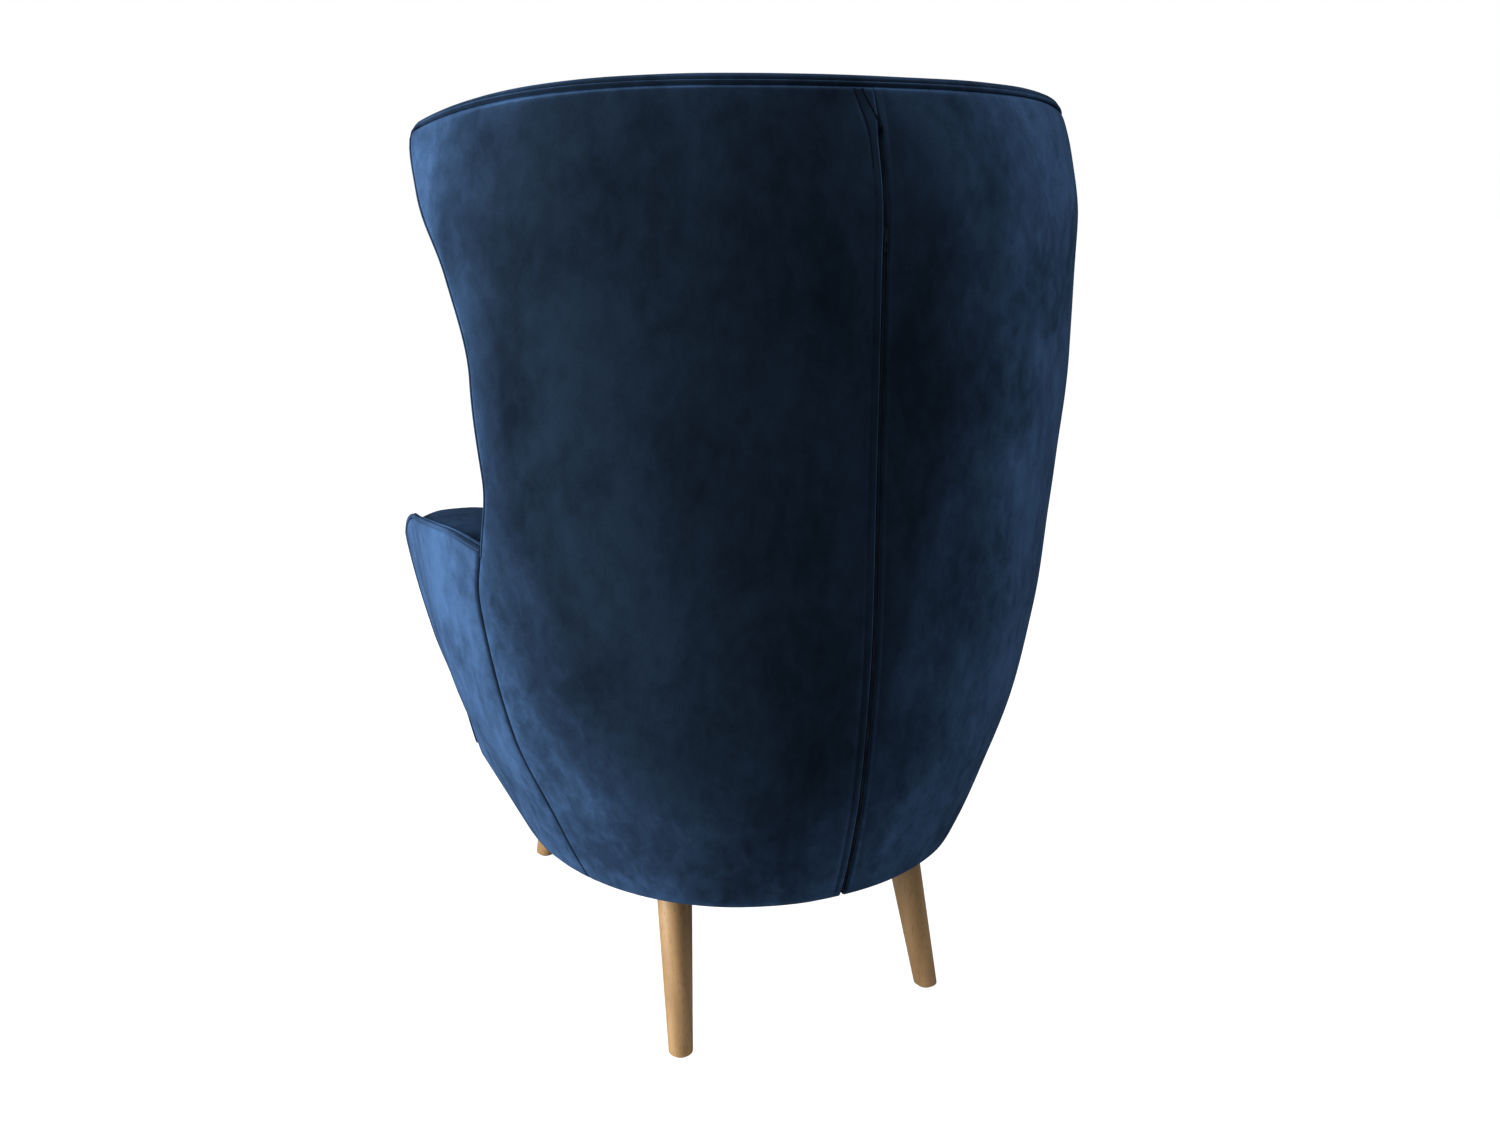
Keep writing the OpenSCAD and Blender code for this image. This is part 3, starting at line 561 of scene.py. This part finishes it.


# the second colour of every velvet is painted sheen, mixed into its base colour where the surface is seen
# at a slant
NAVY, PAINTED_SHEEN = (0.0062, 0.0138, 0.0265), (0.038, 0.083, 0.178)
navy_velvet = velvet("navy_velvet", NAVY, PAINTED_SHEEN, 0.03)
# the inner velvet carries the painted sheen at half strength
inner_velvet = velvet("inner_velvet", NAVY, tuple(c * 0.5 for c in PAINTED_SHEEN), 0.02)
piping_velvet = velvet("piping_velvet", (0.006, 0.0125, 0.024), (0.028, 0.06, 0.125), 0.02)
# near-black colour of the seam cords: the shade of the seam grooves painted onto raised cords
seam_shade_cord = woven("seam_shade_cord", (0.0008, 0.0018, 0.0035), (0.002, 0.0045, 0.009), 900, 1.0)
stitch_thread = woven("stitch_thread", (0.004, 0.009, 0.018), (0.010, 0.021, 0.04), 1400, 0.9)
oak = wood("satin_oak", (0.46, 0.28, 0.125), (0.32, 0.185, 0.075), 13, 0.42, 0.2)
beech = wood("planed_beech", (0.50, 0.33, 0.19), (0.36, 0.22, 0.12), 22, 0.6, 0.0)
birch_ply = wood("birch_plywood", (0.62, 0.47, 0.29), (0.46, 0.32, 0.18), 40, 0.62, 0.0)
zinc = metal("zinc_plate", (0.56, 0.57, 0.58), (0.40, 0.41, 0.42), 300, 0.34, 1.0, 0.0001)
black_coat = metal("black_powder_coat", (0.012, 0.012, 0.014), (0.03, 0.03, 0.033), 900, 0.5, 0.0,
                   0.0003)
zip_lacquer = metal("zip_lacquer", (0.010, 0.016, 0.028), (0.03, 0.045, 0.07), 500, 0.4, 0.8, 0.0001)
glide_plastic = metal("glide_plastic", (0.02, 0.02, 0.02), (0.05, 0.05, 0.05), 700, 0.55, 0.0, 0.0002)
band = woven("webbing_band", (0.012, 0.012, 0.014), (0.05, 0.05, 0.055), 260, 0.85)
tape = woven("zip_tape_cloth", (0.002, 0.004, 0.007), (0.008, 0.014, 0.024), 700, 0.85)
fleece = woven("dust_fleece", (0.008, 0.008, 0.009), (0.022, 0.022, 0.024), 420, 0.95)

SLOT_MATERIALS = {"leg_oak": oak, "plywood": birch_ply, "frame_beech": beech, "zinc_steel": zinc,
                  "black_steel": black_coat, "glide_plastic": glide_plastic, "webbing": band,
                  "dust_cloth": fleece, "lining_felt": inner_velvet, "zip_metal": zip_lacquer,
                  "velvet": navy_velvet, "welt_velvet": piping_velvet}
for part in frame["record"]["subparts"]:
    node_object = frame["nodes"][part["node"]]
    node_object.data.materials.clear()
    node_object.data.materials.append(SLOT_MATERIALS[part["material_slot"]])
frame["nodes"]["zip_tape"].data.materials[0] = tape

# ---------------------------------------------------------------- back covers and the zip
TURNS = 40               # columns of a back cover between the zip and the wing
LEVELS = 52              # rows between hem and top
HEM = [(3.4, 26), (1.6, 14), (0.6, 7), (0.5, 4), (1.4, 1.9), (3.4, 0.6), (7, 0.1), (12, 0)]
HEAD = [(9, 0), (4, 0.1), (1.6, 0.6), (0.3, 1.9), (-0.6, 3.6), (-3, 4.6), (-6.5, 5.0)]
SEAM = [(9, 0), (4.5, 0.12), (2, 0.7), (0.6, 1.9), (0, 4.2)]
SLIT_TOP = 1038          # height at which the zip's slit closes
CLOTH_T = 0.0016         # thickness of the velvet, in m
SHOULDER, SHOULDER_DRIFT, SHOULDER_Z, ZIP_HEAD = 11.6, 9, 1020, 1074
# distance from the middle and depth, of the lap over the zip and of the folded edge it meets
LAP = [(2.8, 6.0), (2.9, 2.8), (3.4, 0.7), (4.6, -0.3), (6.4, -0.6), (8.2, -0.3), (9.8, 0.3),
       (11.4, 0.8), (13.2, 0.7), (15.2, 0.3), (18, 0.1), (24, 0), (32, 0)]
FOLD = [(2.6, 6.0), (2.7, 2.4), (3.2, 0.2), (4.2, -0.9), (5.6, -0.8), (7.2, 0.1), (9.0, 0.4),
        (11, 0.2), (16, 0), (26, 0)]


def cover_levels(top, count=LEVELS):
    """Heights and depths of the rows of a cover, from its hem to its top seam."""
    low, high = HEM[-1][0], HEAD[0][0]
    rows = [(UNDERSIDE + z, d) for z, d in HEM]
    rows += [(mix(UNDERSIDE + low, top - high, k / count), 0) for k in range(1, count)]
    return rows + [(top - z, d) for z, d in HEAD]


def stitched(cover):
    """Gives a draped cover the thickness of its cloth and rounds it."""
    modify(cover, "SOLIDIFY", thickness=CLOTH_T, offset=-1)
    modify(cover, "SUBSURF", levels=1, render_levels=1)
    smooth(cover)
    return cover


def shoulder_x(z):
    """The lap's stitch line, which moves off the slit towards the top seam."""
    return SHOULDER + SHOULDER_DRIFT * ramp(SHOULDER_Z, ZIP_HEAD, z) ** 1.5


def back_cover(name, side, lap):
    columns = len(lap) + TURNS + len(SEAM) - 2
    rows = len(HEM) + LEVELS - 1 + len(HEAD) - 1

    def turn_of(i, z):
        if i < len(lap):
            return turn_at_x(lap[i][0], z)
        k = i - len(lap) + 1
        end = turn_at_y(edge_y(z) + SEAM[0][0], z)
        if k < TURNS:
            return mix(turn_at_x(lap[-1][0], z), end, k / TURNS)
        return turn_at_y(edge_y(z) + SEAM[k - TURNS][0], z)

    levels = [cover_levels(top_z(turn_of(i, CORNER_Z)) - WELT_GAP) for i in range(columns + 1)]

    def place(i, j):
        z, sunk = levels[i][j]
        closed = ramp(SLIT_TOP - 6, SLIT_TOP + 8, z)
        if i < len(lap):
            x, d = lap[i]
            x = max(0.1, x - 2.6 * closed) if x < 6 else x
            x += (shoulder_x(z) - SHOULDER) * ramp(5, 10, x) if lap is LAP else 0
            x, y, z = at_x(x, z, max(sunk, d * (1 - 0.6 * closed) if x < 3 else d))
            pucker = 0.25 * math.sin(z / 2.4) * ramp(30, 4, x) if 2 < x < 28 else 0
            return side * x, y + pucker, z
        k = i - len(lap) + 1
        if k < TURNS:
            turn = turn_of(i, z)
            p = on_back(turn, z, sunk + waver((turn * 300, 0, z), 70, 0.9, 3 + side))
            return side * p[0], p[1], p[2]
        ahead, d = SEAM[k - TURNS]
        p = at_y(edge_y(z) + ahead, z, max(sunk, d))
        return side * p[0], p[1], p[2]

    return stitched(draped(name, columns, rows, place))


dress(back_cover("cover_back_left", 1, LAP), navy_velvet, "velvet", "tub", "back_cover_left", fill=1)
dress(back_cover("cover_back_right", -1, FOLD), navy_velvet, "velvet", "tub", "back_cover_right",
      fill=1)


# a raised seam cord coloured with painted groove shade
def seam_line(name, points, radius, material=seam_shade_cord, slot="welt_velvet"):
    return dress(piping(name, points, radius, sides=2), material, slot, "tub")


def back_line(x_at, low, high, count, d, side=1):
    heights = [mix(low, high, k / count) for k in range(count + 1)]
    return [(side * p[0], p[1], p[2]) for p in (at_x(x_at(z), z, d) for z in heights)]


# ---------------------------------------------------------------- arm covers
ARM_FRONT = -ARM_REACH + 5.5
FRONT_ROLL = [(20, 0), (12, 0.2), (6, 0.8), (2.4, 2.2), (0.4, 5), (-0.5, 10)]
ARM_COLUMNS, ARM_LEVELS = 30, 24


def arm_cover(name, side):
    columns = len(SEAM) + ARM_COLUMNS - 1 + len(FRONT_ROLL) - 1
    rows = len(HEM) + ARM_LEVELS - 1 + len(HEAD) - 1

    def place(i, j):
        def column(z):
            rear, front = edge_y(z), ARM_FRONT
            if i < len(SEAM):
                ahead, d = SEAM[len(SEAM) - 1 - i]
                return rear - ahead, d
            k = i - len(SEAM) + 1
            if k < ARM_COLUMNS:
                return mix(rear - SEAM[0][0], front + FRONT_ROLL[0][0], k / ARM_COLUMNS), 0
            ahead, d = FRONT_ROLL[k - ARM_COLUMNS]
            return front + ahead, d

        y, d = column(600)
        z, sunk = cover_levels(arm_z(y) - WELT_GAP, ARM_LEVELS)[j]
        y, d = column(z)
        swell = waver((y, 0, z), 70, 0.9, 9 + side) if d == 0 and sunk == 0 else 0
        p = at_y(y, z, max(d, sunk) + swell)
        return side * p[0], p[1], p[2]

    return stitched(draped(name, columns, rows, place))


for side, hand in ((1, "left"), (-1, "right")):
    dress(arm_cover("cover_arm_" + hand, side), navy_velvet, "velvet", "tub", "arm_cover_" + hand,
          fill=1)

# ---------------------------------------------------------------- zip: seams, stop, coil
seam_line("seam_zip_top", back_line(lambda z: 13 * ramp(SLIT_TOP - 2, 1078, z) + 0.2,
                                    SLIT_TOP - 2, 1073, 16, -0.1), 0.7)
seam_line("seam_zip_shoulder", back_line(shoulder_x, 1000, 1073, 20, 0.6), 0.4)


def stitches(name, x_at, low, high, pitch, d, side):
    """A row of short stitches, one modelled and copied along the row."""
    deselect()
    bpy.ops.mesh.primitive_cylinder_add(vertices=6, radius=0.00028, depth=0.0021)
    first = bpy.context.object
    edit(first, lambda: bpy.ops.mesh.bevel(offset=0.00014, segments=1))
    mesh = first.data
    copies = []
    for k in range(int((high - low) / pitch)):
        z = low + k * pitch
        p = at_x(x_at(z), z, d)
        q = at_x(x_at(z + 1), z + 1, d)
        run = (Vector(q) - Vector(p)).to_track_quat("Z", "Y").to_matrix().to_4x4()
        twin = bpy.data.objects.new(name, mesh.copy())
        twin.data.transform(Matrix.Translation(Vector((side * p[0], p[1], p[2])) * MM) @ run)
        bpy.context.scene.collection.objects.link(twin)
        copies.append(twin)
    bpy.data.objects.remove(first)
    return dress(joined(name, copies), stitch_thread, "welt_velvet", "tub")


stitches("stitches_zip_left", shoulder_x, 216, 1068, 3.4, 0.55, 1)


COIL_FOOT, COIL_TOP, COIL_PITCH = 218, 1062, 1.9


def zip_coil(name, side):
    """The coil on one edge of the zip, one turn modelled and copied along the tape."""
    deselect()
    bpy.ops.mesh.primitive_torus_add(major_segments=8, minor_segments=4,
                                     major_radius=0.00075, minor_radius=0.0003)
    first = bpy.context.object
    edit(first, lambda: bpy.ops.transform.resize(value=(1.1, 0.8, 1.0)),
         lambda: bpy.ops.transform.rotate(value=math.radians(14), orient_axis="Y",
                                          center_override=(0, 0, 0)))
    mesh = first.data
    copies = []
    for k in range(int((COIL_TOP - COIL_FOOT) / COIL_PITCH)):
        z = COIL_FOOT + k * COIL_PITCH + (COIL_PITCH / 2 if side < 0 else 0)
        y = at_x(0, z, 2.6)[1]
        twin = bpy.data.objects.new(name, mesh.copy())
        twin.data.transform(Matrix.Translation(Vector((side * 0.62, y, z)) * MM))
        bpy.context.scene.collection.objects.link(twin)
        copies.append(twin)
    bpy.data.objects.remove(first)
    return dress(joined(name, copies), zip_lacquer, "zip_metal", "tub")


zip_coil("zip_coil_left", 1)
zip_coil("zip_coil_right", -1)


TACKS = 16


def bar_tack(name, z0, z1, half):
    """Close zigzag stitches that stop the slit."""
    line = []
    for k in range(TACKS + 1):
        x, y, z = at_x(0, mix(z0, z1, k / TACKS), -0.5)
        line.append((half if k % 2 else -half, y, z))
    return dress(piping(name, line, 0.45, sides=1), stitch_thread, "welt_velvet", "tub")


bar_tack("zip_stop_stitches", SLIT_TOP - 7, SLIT_TOP, 2.4)

# ---------------------------------------------------------------- piping
end_turn = turn_at_y(edge_y(CORNER_Z) + 8, CORNER_Z)
half_run = [at_y(edge_y(z) + 1.5, z, 2.2) for z in range(612, CORNER_Z - 10, 8)]
half_run.append(at_y(edge_y(CORNER_Z - 6) + 2.5, CORNER_Z - 6.5, 2.2))
half_run += [on_back(end_turn * k / 50, top_z(end_turn * k / 50) - 3, WELT_R - 0.4)
             for k in range(50, 0, -1)]
top_run = half_run + [(0, at_x(0, COVER_TOP - 3, WELT_R - 0.4)[1], COVER_TOP - 3)]
top_run += [(-x, y, z) for x, y, z in reversed(half_run)]
dress(piping("piping_top", top_run, WELT_R), piping_velvet, "welt_velvet", "tub", "top_welt")
arm_runs = []
for side, hand in ((1, "left"), (-1, "right")):
    run = []
    for k in range(41):
        y = mix(edge_y(622) - 1, ARM_FRONT + 2, k / 40)
        x, y, z = at_y(y, arm_z(y) - 3, WELT_R - 0.4)
        run.append((side * x, y, z))
    for z in range(528, 216, -8):
        x, y, _ = at_y(ARM_FRONT - 0.5, z, WELT_R - 0.6)
        run.append((side * x, y, z))
    arm_runs.append(piping("piping_arm_" + hand, run, WELT_R))
dress(arm_runs[0], piping_velvet, "welt_velvet", "tub", "arm_welts")
dress(arm_runs[1], piping_velvet, "welt_velvet", "tub")

# ---------------------------------------------------------------- padded pieces
# distance in from the back and rise over the top edge, round the roll's section
ROLL = [(1.2, -3.4), (0.3, 0.0), (1.6, 2.6), (4.6, 4.4), (10, 5.4), (20, 6.0), (28, 6.1), (36, 6.0),
        (44, 5.3), (50, 3.6), (53.4, 0.8), (53.6, -3.0), (48, -3.6), (30, -3.6), (12, -3.6)]
ROLL_TURN, ROLL_COLUMNS = turn_at_y(edge_y(CORNER_Z), CORNER_Z), 96


def roll_place(i, j):
    u = mix(-1, 1, i / ROLL_COLUMNS)
    turn, fade = u * ROLL_TURN, 1 - 0.6 * abs(u) ** 4
    d, rise = ROLL[j % len(ROLL)]
    swell = waver((u * 400, d, 0), 60, 0.5, 5) if rise > 4 else 0
    x, y, z = on_back(abs(turn), top_z(abs(turn)), d)
    outer = on_back(abs(turn), z, 0.3)
    level = at_y(outer[1], z, d)
    beside = ramp(0.7, 0.96, abs(u))
    x, y = mix(x, level[0], beside), mix(y, level[1], beside)
    return (x if u > 0 else -x), y, z + (rise * fade if rise > 0 else rise) + swell * fade


roll = draped("roll_top", ROLL_COLUMNS, len(ROLL), roll_place)
edit(roll, lambda: bpy.ops.mesh.remove_doubles(threshold=0.00001),
     lambda: bpy.ops.mesh.fill_holes(sides=0), outward)
modify(roll, "SUBSURF", levels=1, render_levels=1)
smooth(roll, 60)
dress(roll, inner_velvet, "velvet", "tub", "top_roll", fill=0.8)

PADS = [  # piece, node, voxel, shrink, cap, body, fill
    ("pad_arm_left", "arm_pad_left", 5.0, 1.6, 5.0, "tub", 0.8),
    ("pad_wing_left", "wing_pad_left", 5.0, 1.6, 5.0, "tub", 0.8),
    ("panel_wing_left", "wing_face_left", 2.6, 0.4, 2.5, "tub", 0.8),
    ("panel_arm_left", "arm_face_left", 2.6, 0.4, 2.0, "tub", 0.8),
    ("cushion_back", "back_cushion", 6.0, 7.0, 14.0, "inner_back", 0.75),
    ("cushion_seat", "seat_cushion", 6.0, 6.0, 12.0, "seat", 0.75),
    ("pad_footrest", "footrest_pad", 5.0, 4.0, 8.0, "footrest", 0.8),
]
soft = {}


def fill_box(piece, node_name, grow):
    """Stretches a soft piece to the box of the node it stands for, a little larger or smaller."""
    low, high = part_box(node_name)
    points = [v.co for v in piece.data.vertices]
    for k in range(3):
        a, b = min(p[k] for p in points), max(p[k] for p in points)
        a2, b2 = low[k] - grow[k] * MM, high[k] + grow[k] * MM
        for p in points:
            p[k] = a2 + (p[k] - a) / (b - a) * (b2 - a2)


def keep_below(piece, node_name, height, room):
    """Holds the part of a soft piece under a height (mm) inside its node, with room to spare."""
    form = copy_of(node_name, "form")
    for v in piece.data.vertices:
        if v.co.z < height * MM:
            found, place, normal, _ = form.closest_point_on_mesh(v.co)
            if (v.co - place).dot(normal) > -room * MM:
                v.co = place - normal * room * MM
    bpy.data.objects.remove(form)


GROWTH = {"cushion_seat": (0.3, 0.3, 1.5), "cushion_back": (2, 1, 2),
          "pad_footrest": (0.3, -1.6, 0), "panel_wing_left": (0.8, 0.5, 4)}
for name, node_name, voxel, shrink, cap, body, fill in PADS:
    piece = plump(copy_of(node_name, name), voxel, shrink, cap)
    fill_box(piece, node_name, GROWTH.get(name, (0.3, 0.3, 0.3)))
    if name == "cushion_seat":
        keep_below(piece, node_name, 430, 0.8)
    soft[name] = piece
    dress(piece, inner_velvet, "velvet", body, node_name, fill=fill)
    if name.endswith("_left"):
        twin = mirrored(piece, name.replace("_left", "_right"))
        smooth(twin)
        dress(twin, inner_velvet, "velvet", body, node_name.replace("_left", "_right"), fill=fill)


def on_surface(piece, point, lift):
    """The nearest place on a soft piece, lifted off it, in mm."""
    found, place, normal, _ = piece.closest_point_on_mesh(Vector(point) * MM)
    return tuple((place + normal * lift * MM) / MM)


def ring_through(corners, step):
    """Points along a closed outline, no further apart than a step."""
    ring = []
    for a, b in zip(corners, corners[1:] + corners[:1]):
        count = max(1, int(math.dist(a, b) / step))
        ring += [(mix(a[0], b[0], k / count), mix(a[1], b[1], k / count)) for k in range(count)]
    return ring


seat = soft["cushion_seat"]
SEAT_HALF, SEAT_NOSE, SEAT_BEND, SEAT_CORNER = 258, -352, 90, 110
outline = [(-SEAT_HALF, SEAT_NOSE), (-SEAT_HALF, SEAT_BEND)]
outline += [(-SEAT_HALF + SEAT_CORNER * (1 - math.cos(t)), SEAT_BEND + SEAT_CORNER * math.sin(t))
            for t in (math.radians(a) for a in range(10, 68, 8))]
outline += [(-x, y) for x, y in reversed(outline)]
outline = ring_through(outline, 12)
for name, height in (("piping_seat_upper", 450), ("piping_seat_lower", 420)):
    run = [on_surface(seat, (x * 1.02, y * 1.02, height), 0.8) for x, y in outline
           if y > -350 or abs(x) < 250]
    dress(piping(name, run, WELT_R, closed=True), piping_velvet, "welt_velvet", "seat")

foot = soft["pad_footrest"]
ring = [(-238, 228), (238, 228), (238, 392), (-238, 392)]
run = [on_surface(foot, (x * 1.01, -370, z), -1.2) for x, z in ring_through(ring, 8)]
dress(piping("piping_footrest", run, WELT_R, closed=True), piping_velvet, "welt_velvet", "footrest")

run = [on_surface(soft["cushion_back"], (mix(-274, 274, k / 32), 215, 1010), 0.6) for k in range(33)]
dress(piping("piping_back_top", run, WELT_R), piping_velvet, "welt_velvet", "inner_back")

# ---------------------------------------------------------------- front apron, lining, underside
apron = copy_of("front_apron", "apron_front")
modify(apron, "BEVEL", width=0.001, segments=2)
edit(apron, lambda: bpy.ops.mesh.subdivide(number_cuts=2))
modify(apron, "SUBSURF", levels=1, render_levels=1, subdivision_type="SIMPLE")
smooth(apron, 40)
dress(apron, navy_velvet, "velvet", "tub", "front_apron", fill=1)

lining = copy_of("tub_lining", "lining_tub")
for v in lining.data.vertices:
    v.co.z += 12 * MM * ramp(0.96, 1.04, v.co.z)
modify(lining, "SUBSURF", levels=1, render_levels=1)
smooth(lining, 60)
dress(lining, inner_velvet, "lining_felt", "tub", "tub_lining", fill=1)

front = copy_of("seat_front_panel", "panel_seat_front")
modify(front, "BEVEL", width=0.002, segments=3)
smooth(front, 40)
dress(front, inner_velvet, "velvet", "seat", "seat_front_panel")

COVERED_BOARDS = [("seat_side_rails", "seat"), ("footrest_board", "footrest"),
                  ("inner_back_board", "inner_back"), ("base_side_rail_left", "tub"),
                  ("base_side_rail_right", "tub"), ("base_cross_rails", "tub"),
                  ("wing_posts", "tub"), ("arm_posts", "tub")]
for node_name, body in COVERED_BOARDS:
    wrapped = copy_of(node_name, "covered_" + node_name)
    smooth(wrapped, 30)
    dress(wrapped, inner_velvet, "velvet", body, node_name)

BOARD_FRONT_Y, BOARD_SIDE_X, WRAP_T = -0.236, 0.228, 0.0013   # the base board's front corners, in m
for side, hand in ((1, "left"), (-1, "right")):
    shoulder = copy_of("base_board", "shoulder_" + hand)
    edit(shoulder, lambda: bpy.ops.mesh.bisect(plane_co=(0, BOARD_FRONT_Y, 0), plane_no=(0, 1, 0),
                                               use_fill=True, clear_outer=True))
    edit(shoulder, lambda: bpy.ops.mesh.bisect(plane_co=(side * BOARD_SIDE_X, 0, 0), plane_no=(side, 0, 0),
                                               use_fill=True, clear_inner=True), outward)
    moves = [v.normal * WRAP_T for v in shoulder.data.vertices]
    for v, m in zip(shoulder.data.vertices, moves):
        v.co += m
    smooth(shoulder, 30)
    dress(shoulder, navy_velvet, "velvet", "tub")

dust = copy_of("dust_cover", "dust_cloth")
smooth(dust, 30)
dress(dust, fleece, "dust_cloth", "tub", "dust_cover")

straps = copy_of("seat_straps", "straps_seat")
modify(straps, "BEVEL", width=0.0006, segments=2)
smooth(straps, 40)
dress(straps, band, "webbing", "seat", "seat_straps")

# ---------------------------------------------------------------- turned legs
LEG_TOP_R, LEG_FOOT_R, LEG_H, LEG_LEAN, LEG_SPLAY = 21.5, 14, 201, 54, 16
FOOT_X, REAR_Y, FRONT_Y, GLIDE_H = 169, 231, -313, 3


def turned_leg(name):
    """Standing up from the floor: a tapered turning with a soft shoulder."""
    length = Vector((LEG_LEAN, LEG_SPLAY, LEG_H)).length
    deselect()
    bpy.ops.mesh.primitive_cylinder_add(vertices=64, radius=LEG_FOOT_R * MM, depth=(length + 8) * MM,
                                        location=(0, 0, (length - 8) / 2 * MM))
    leg = bpy.context.object
    leg.name = name
    bpy.ops.object.transform_apply(location=True, rotation=True, scale=True)
    activate(leg)
    bpy.ops.object.mode_set(mode="EDIT")
    bpy.ops.mesh.select_all(action="DESELECT")
    bpy.ops.object.mode_set(mode="OBJECT")
    for v in leg.data.vertices:
        v.select = v.co.z > length * MM / 2
    for e in leg.data.edges:
        e.select = all(leg.data.vertices[v].select for v in e.vertices)
    for f in leg.data.polygons:
        f.select = all(leg.data.vertices[v].select for v in f.vertices)
    bpy.ops.object.mode_set(mode="EDIT")
    share = LEG_TOP_R / LEG_FOOT_R
    bpy.ops.transform.resize(value=(share, share, 1), center_override=(0, 0, length * MM))
    bpy.ops.mesh.bevel(offset=0.0042, segments=5, affect="EDGES")
    bpy.ops.object.mode_set(mode="OBJECT")
    return leg


model = turned_leg("leg_model")
for side, hand in ((1, "left"), (-1, "right")):
    for end, where, foot_y in ((1, "rear", REAR_Y), (-1, "front", FRONT_Y)):
        leg = bpy.data.objects.new("turned_leg_%s_%s" % (where, hand), model.data.copy())
        bpy.context.scene.collection.objects.link(leg)
        way = Vector((-side * LEG_SPLAY, -end * LEG_LEAN, LEG_H))
        turn = way.to_track_quat("Z", "Y").to_matrix().to_4x4()
        foot_place = Matrix.Translation(Vector((side * FOOT_X, foot_y, 0)) * MM)
        leg.data.transform(foot_place @ turn)
        edit(leg, lambda: bpy.ops.mesh.bisect(plane_co=(0, 0, GLIDE_H * MM), plane_no=(0, 0, 1),
                                              use_fill=True, clear_inner=True), outward)
        smooth(leg, 35)
        dress(leg, oak, "leg_oak", "tub", "leg_%s_%s" % (where, hand))
bpy.data.objects.remove(model)

# ---------------------------------------------------------------- floor, light, camera
deselect()
bpy.ops.mesh.primitive_plane_add(size=60)
floor = bpy.context.object
floor.name = "floor"
floor_paint = bpy.data.materials.new("pale_floor")
floor_paint.use_nodes = True
shader = next(n for n in floor_paint.node_tree.nodes if n.type == "BSDF_PRINCIPLED")
shader.inputs["Base Color"].default_value = (0.35, 0.35, 0.35, 1)
shader.inputs["Roughness"].default_value = 0.95
seen = node(floor_paint.node_tree, "LightPath").outputs["Is Camera Ray"]
link(floor_paint.node_tree, blend_colour(floor_paint.node_tree, seen, (0, 0, 0), (0.97, 0.97, 0.97)),
     shader.inputs["Emission Color"])
shader.inputs["Emission Strength"].default_value = 1.0
floor.data.materials.append(floor_paint)

world = bpy.data.worlds.new("studio")
bpy.context.scene.world = world
world.use_nodes = True
sky = world.node_tree.nodes["Background"]
seen = node(world.node_tree, "LightPath").outputs["Is Camera Ray"]
link(world.node_tree, blend_colour(world.node_tree, seen, (0.17, 0.17, 0.17), (1, 1, 1)),
     sky.inputs["Color"])
sky.inputs["Strength"].default_value = 1.0
bpy.context.scene.view_settings.view_transform = "Standard"


def softbox(name, place, aim, size, power):
    lamp = bpy.data.lights.new(name, "AREA")
    lamp.shape = "RECTANGLE"
    lamp.size, lamp.size_y = size
    lamp.energy = power
    holder = bpy.data.objects.new(name, lamp)
    bpy.context.scene.collection.objects.link(holder)
    holder.location = place
    holder.rotation_euler = (Vector(aim) - Vector(place)).to_track_quat("-Z", "Y").to_euler()


softbox("key", (3.2, -0.05, 1.2), (0.1, 0.0, 0.6), (1.2, 2.2), 178)
softbox("top", (0.0, 1.6, 3.5), (0, 0.1, 0.9), (2.6, 2.6), 42)
softbox("fill", (-2.9, 1.3, 2.0), (0, 0.1, 1.0), (1.6, 2.0), 14)

lens = bpy.data.cameras.new("camera")
lens.sensor_width, lens.lens = 36, 32.484
camera = bpy.data.objects.new("camera", lens)
bpy.context.scene.collection.objects.link(camera)
YAW, DOWN = 0.4373, 0.2762
level = Vector((-math.sin(YAW), -math.cos(YAW), 0))
ahead = math.cos(DOWN) * level - math.sin(DOWN) * Vector((0, 0, 1))
camera.location = (0.6785, 1.5131, 0.9913)
camera.rotation_euler = ahead.to_track_quat("-Z", "Y").to_euler()
bpy.context.scene.camera = camera
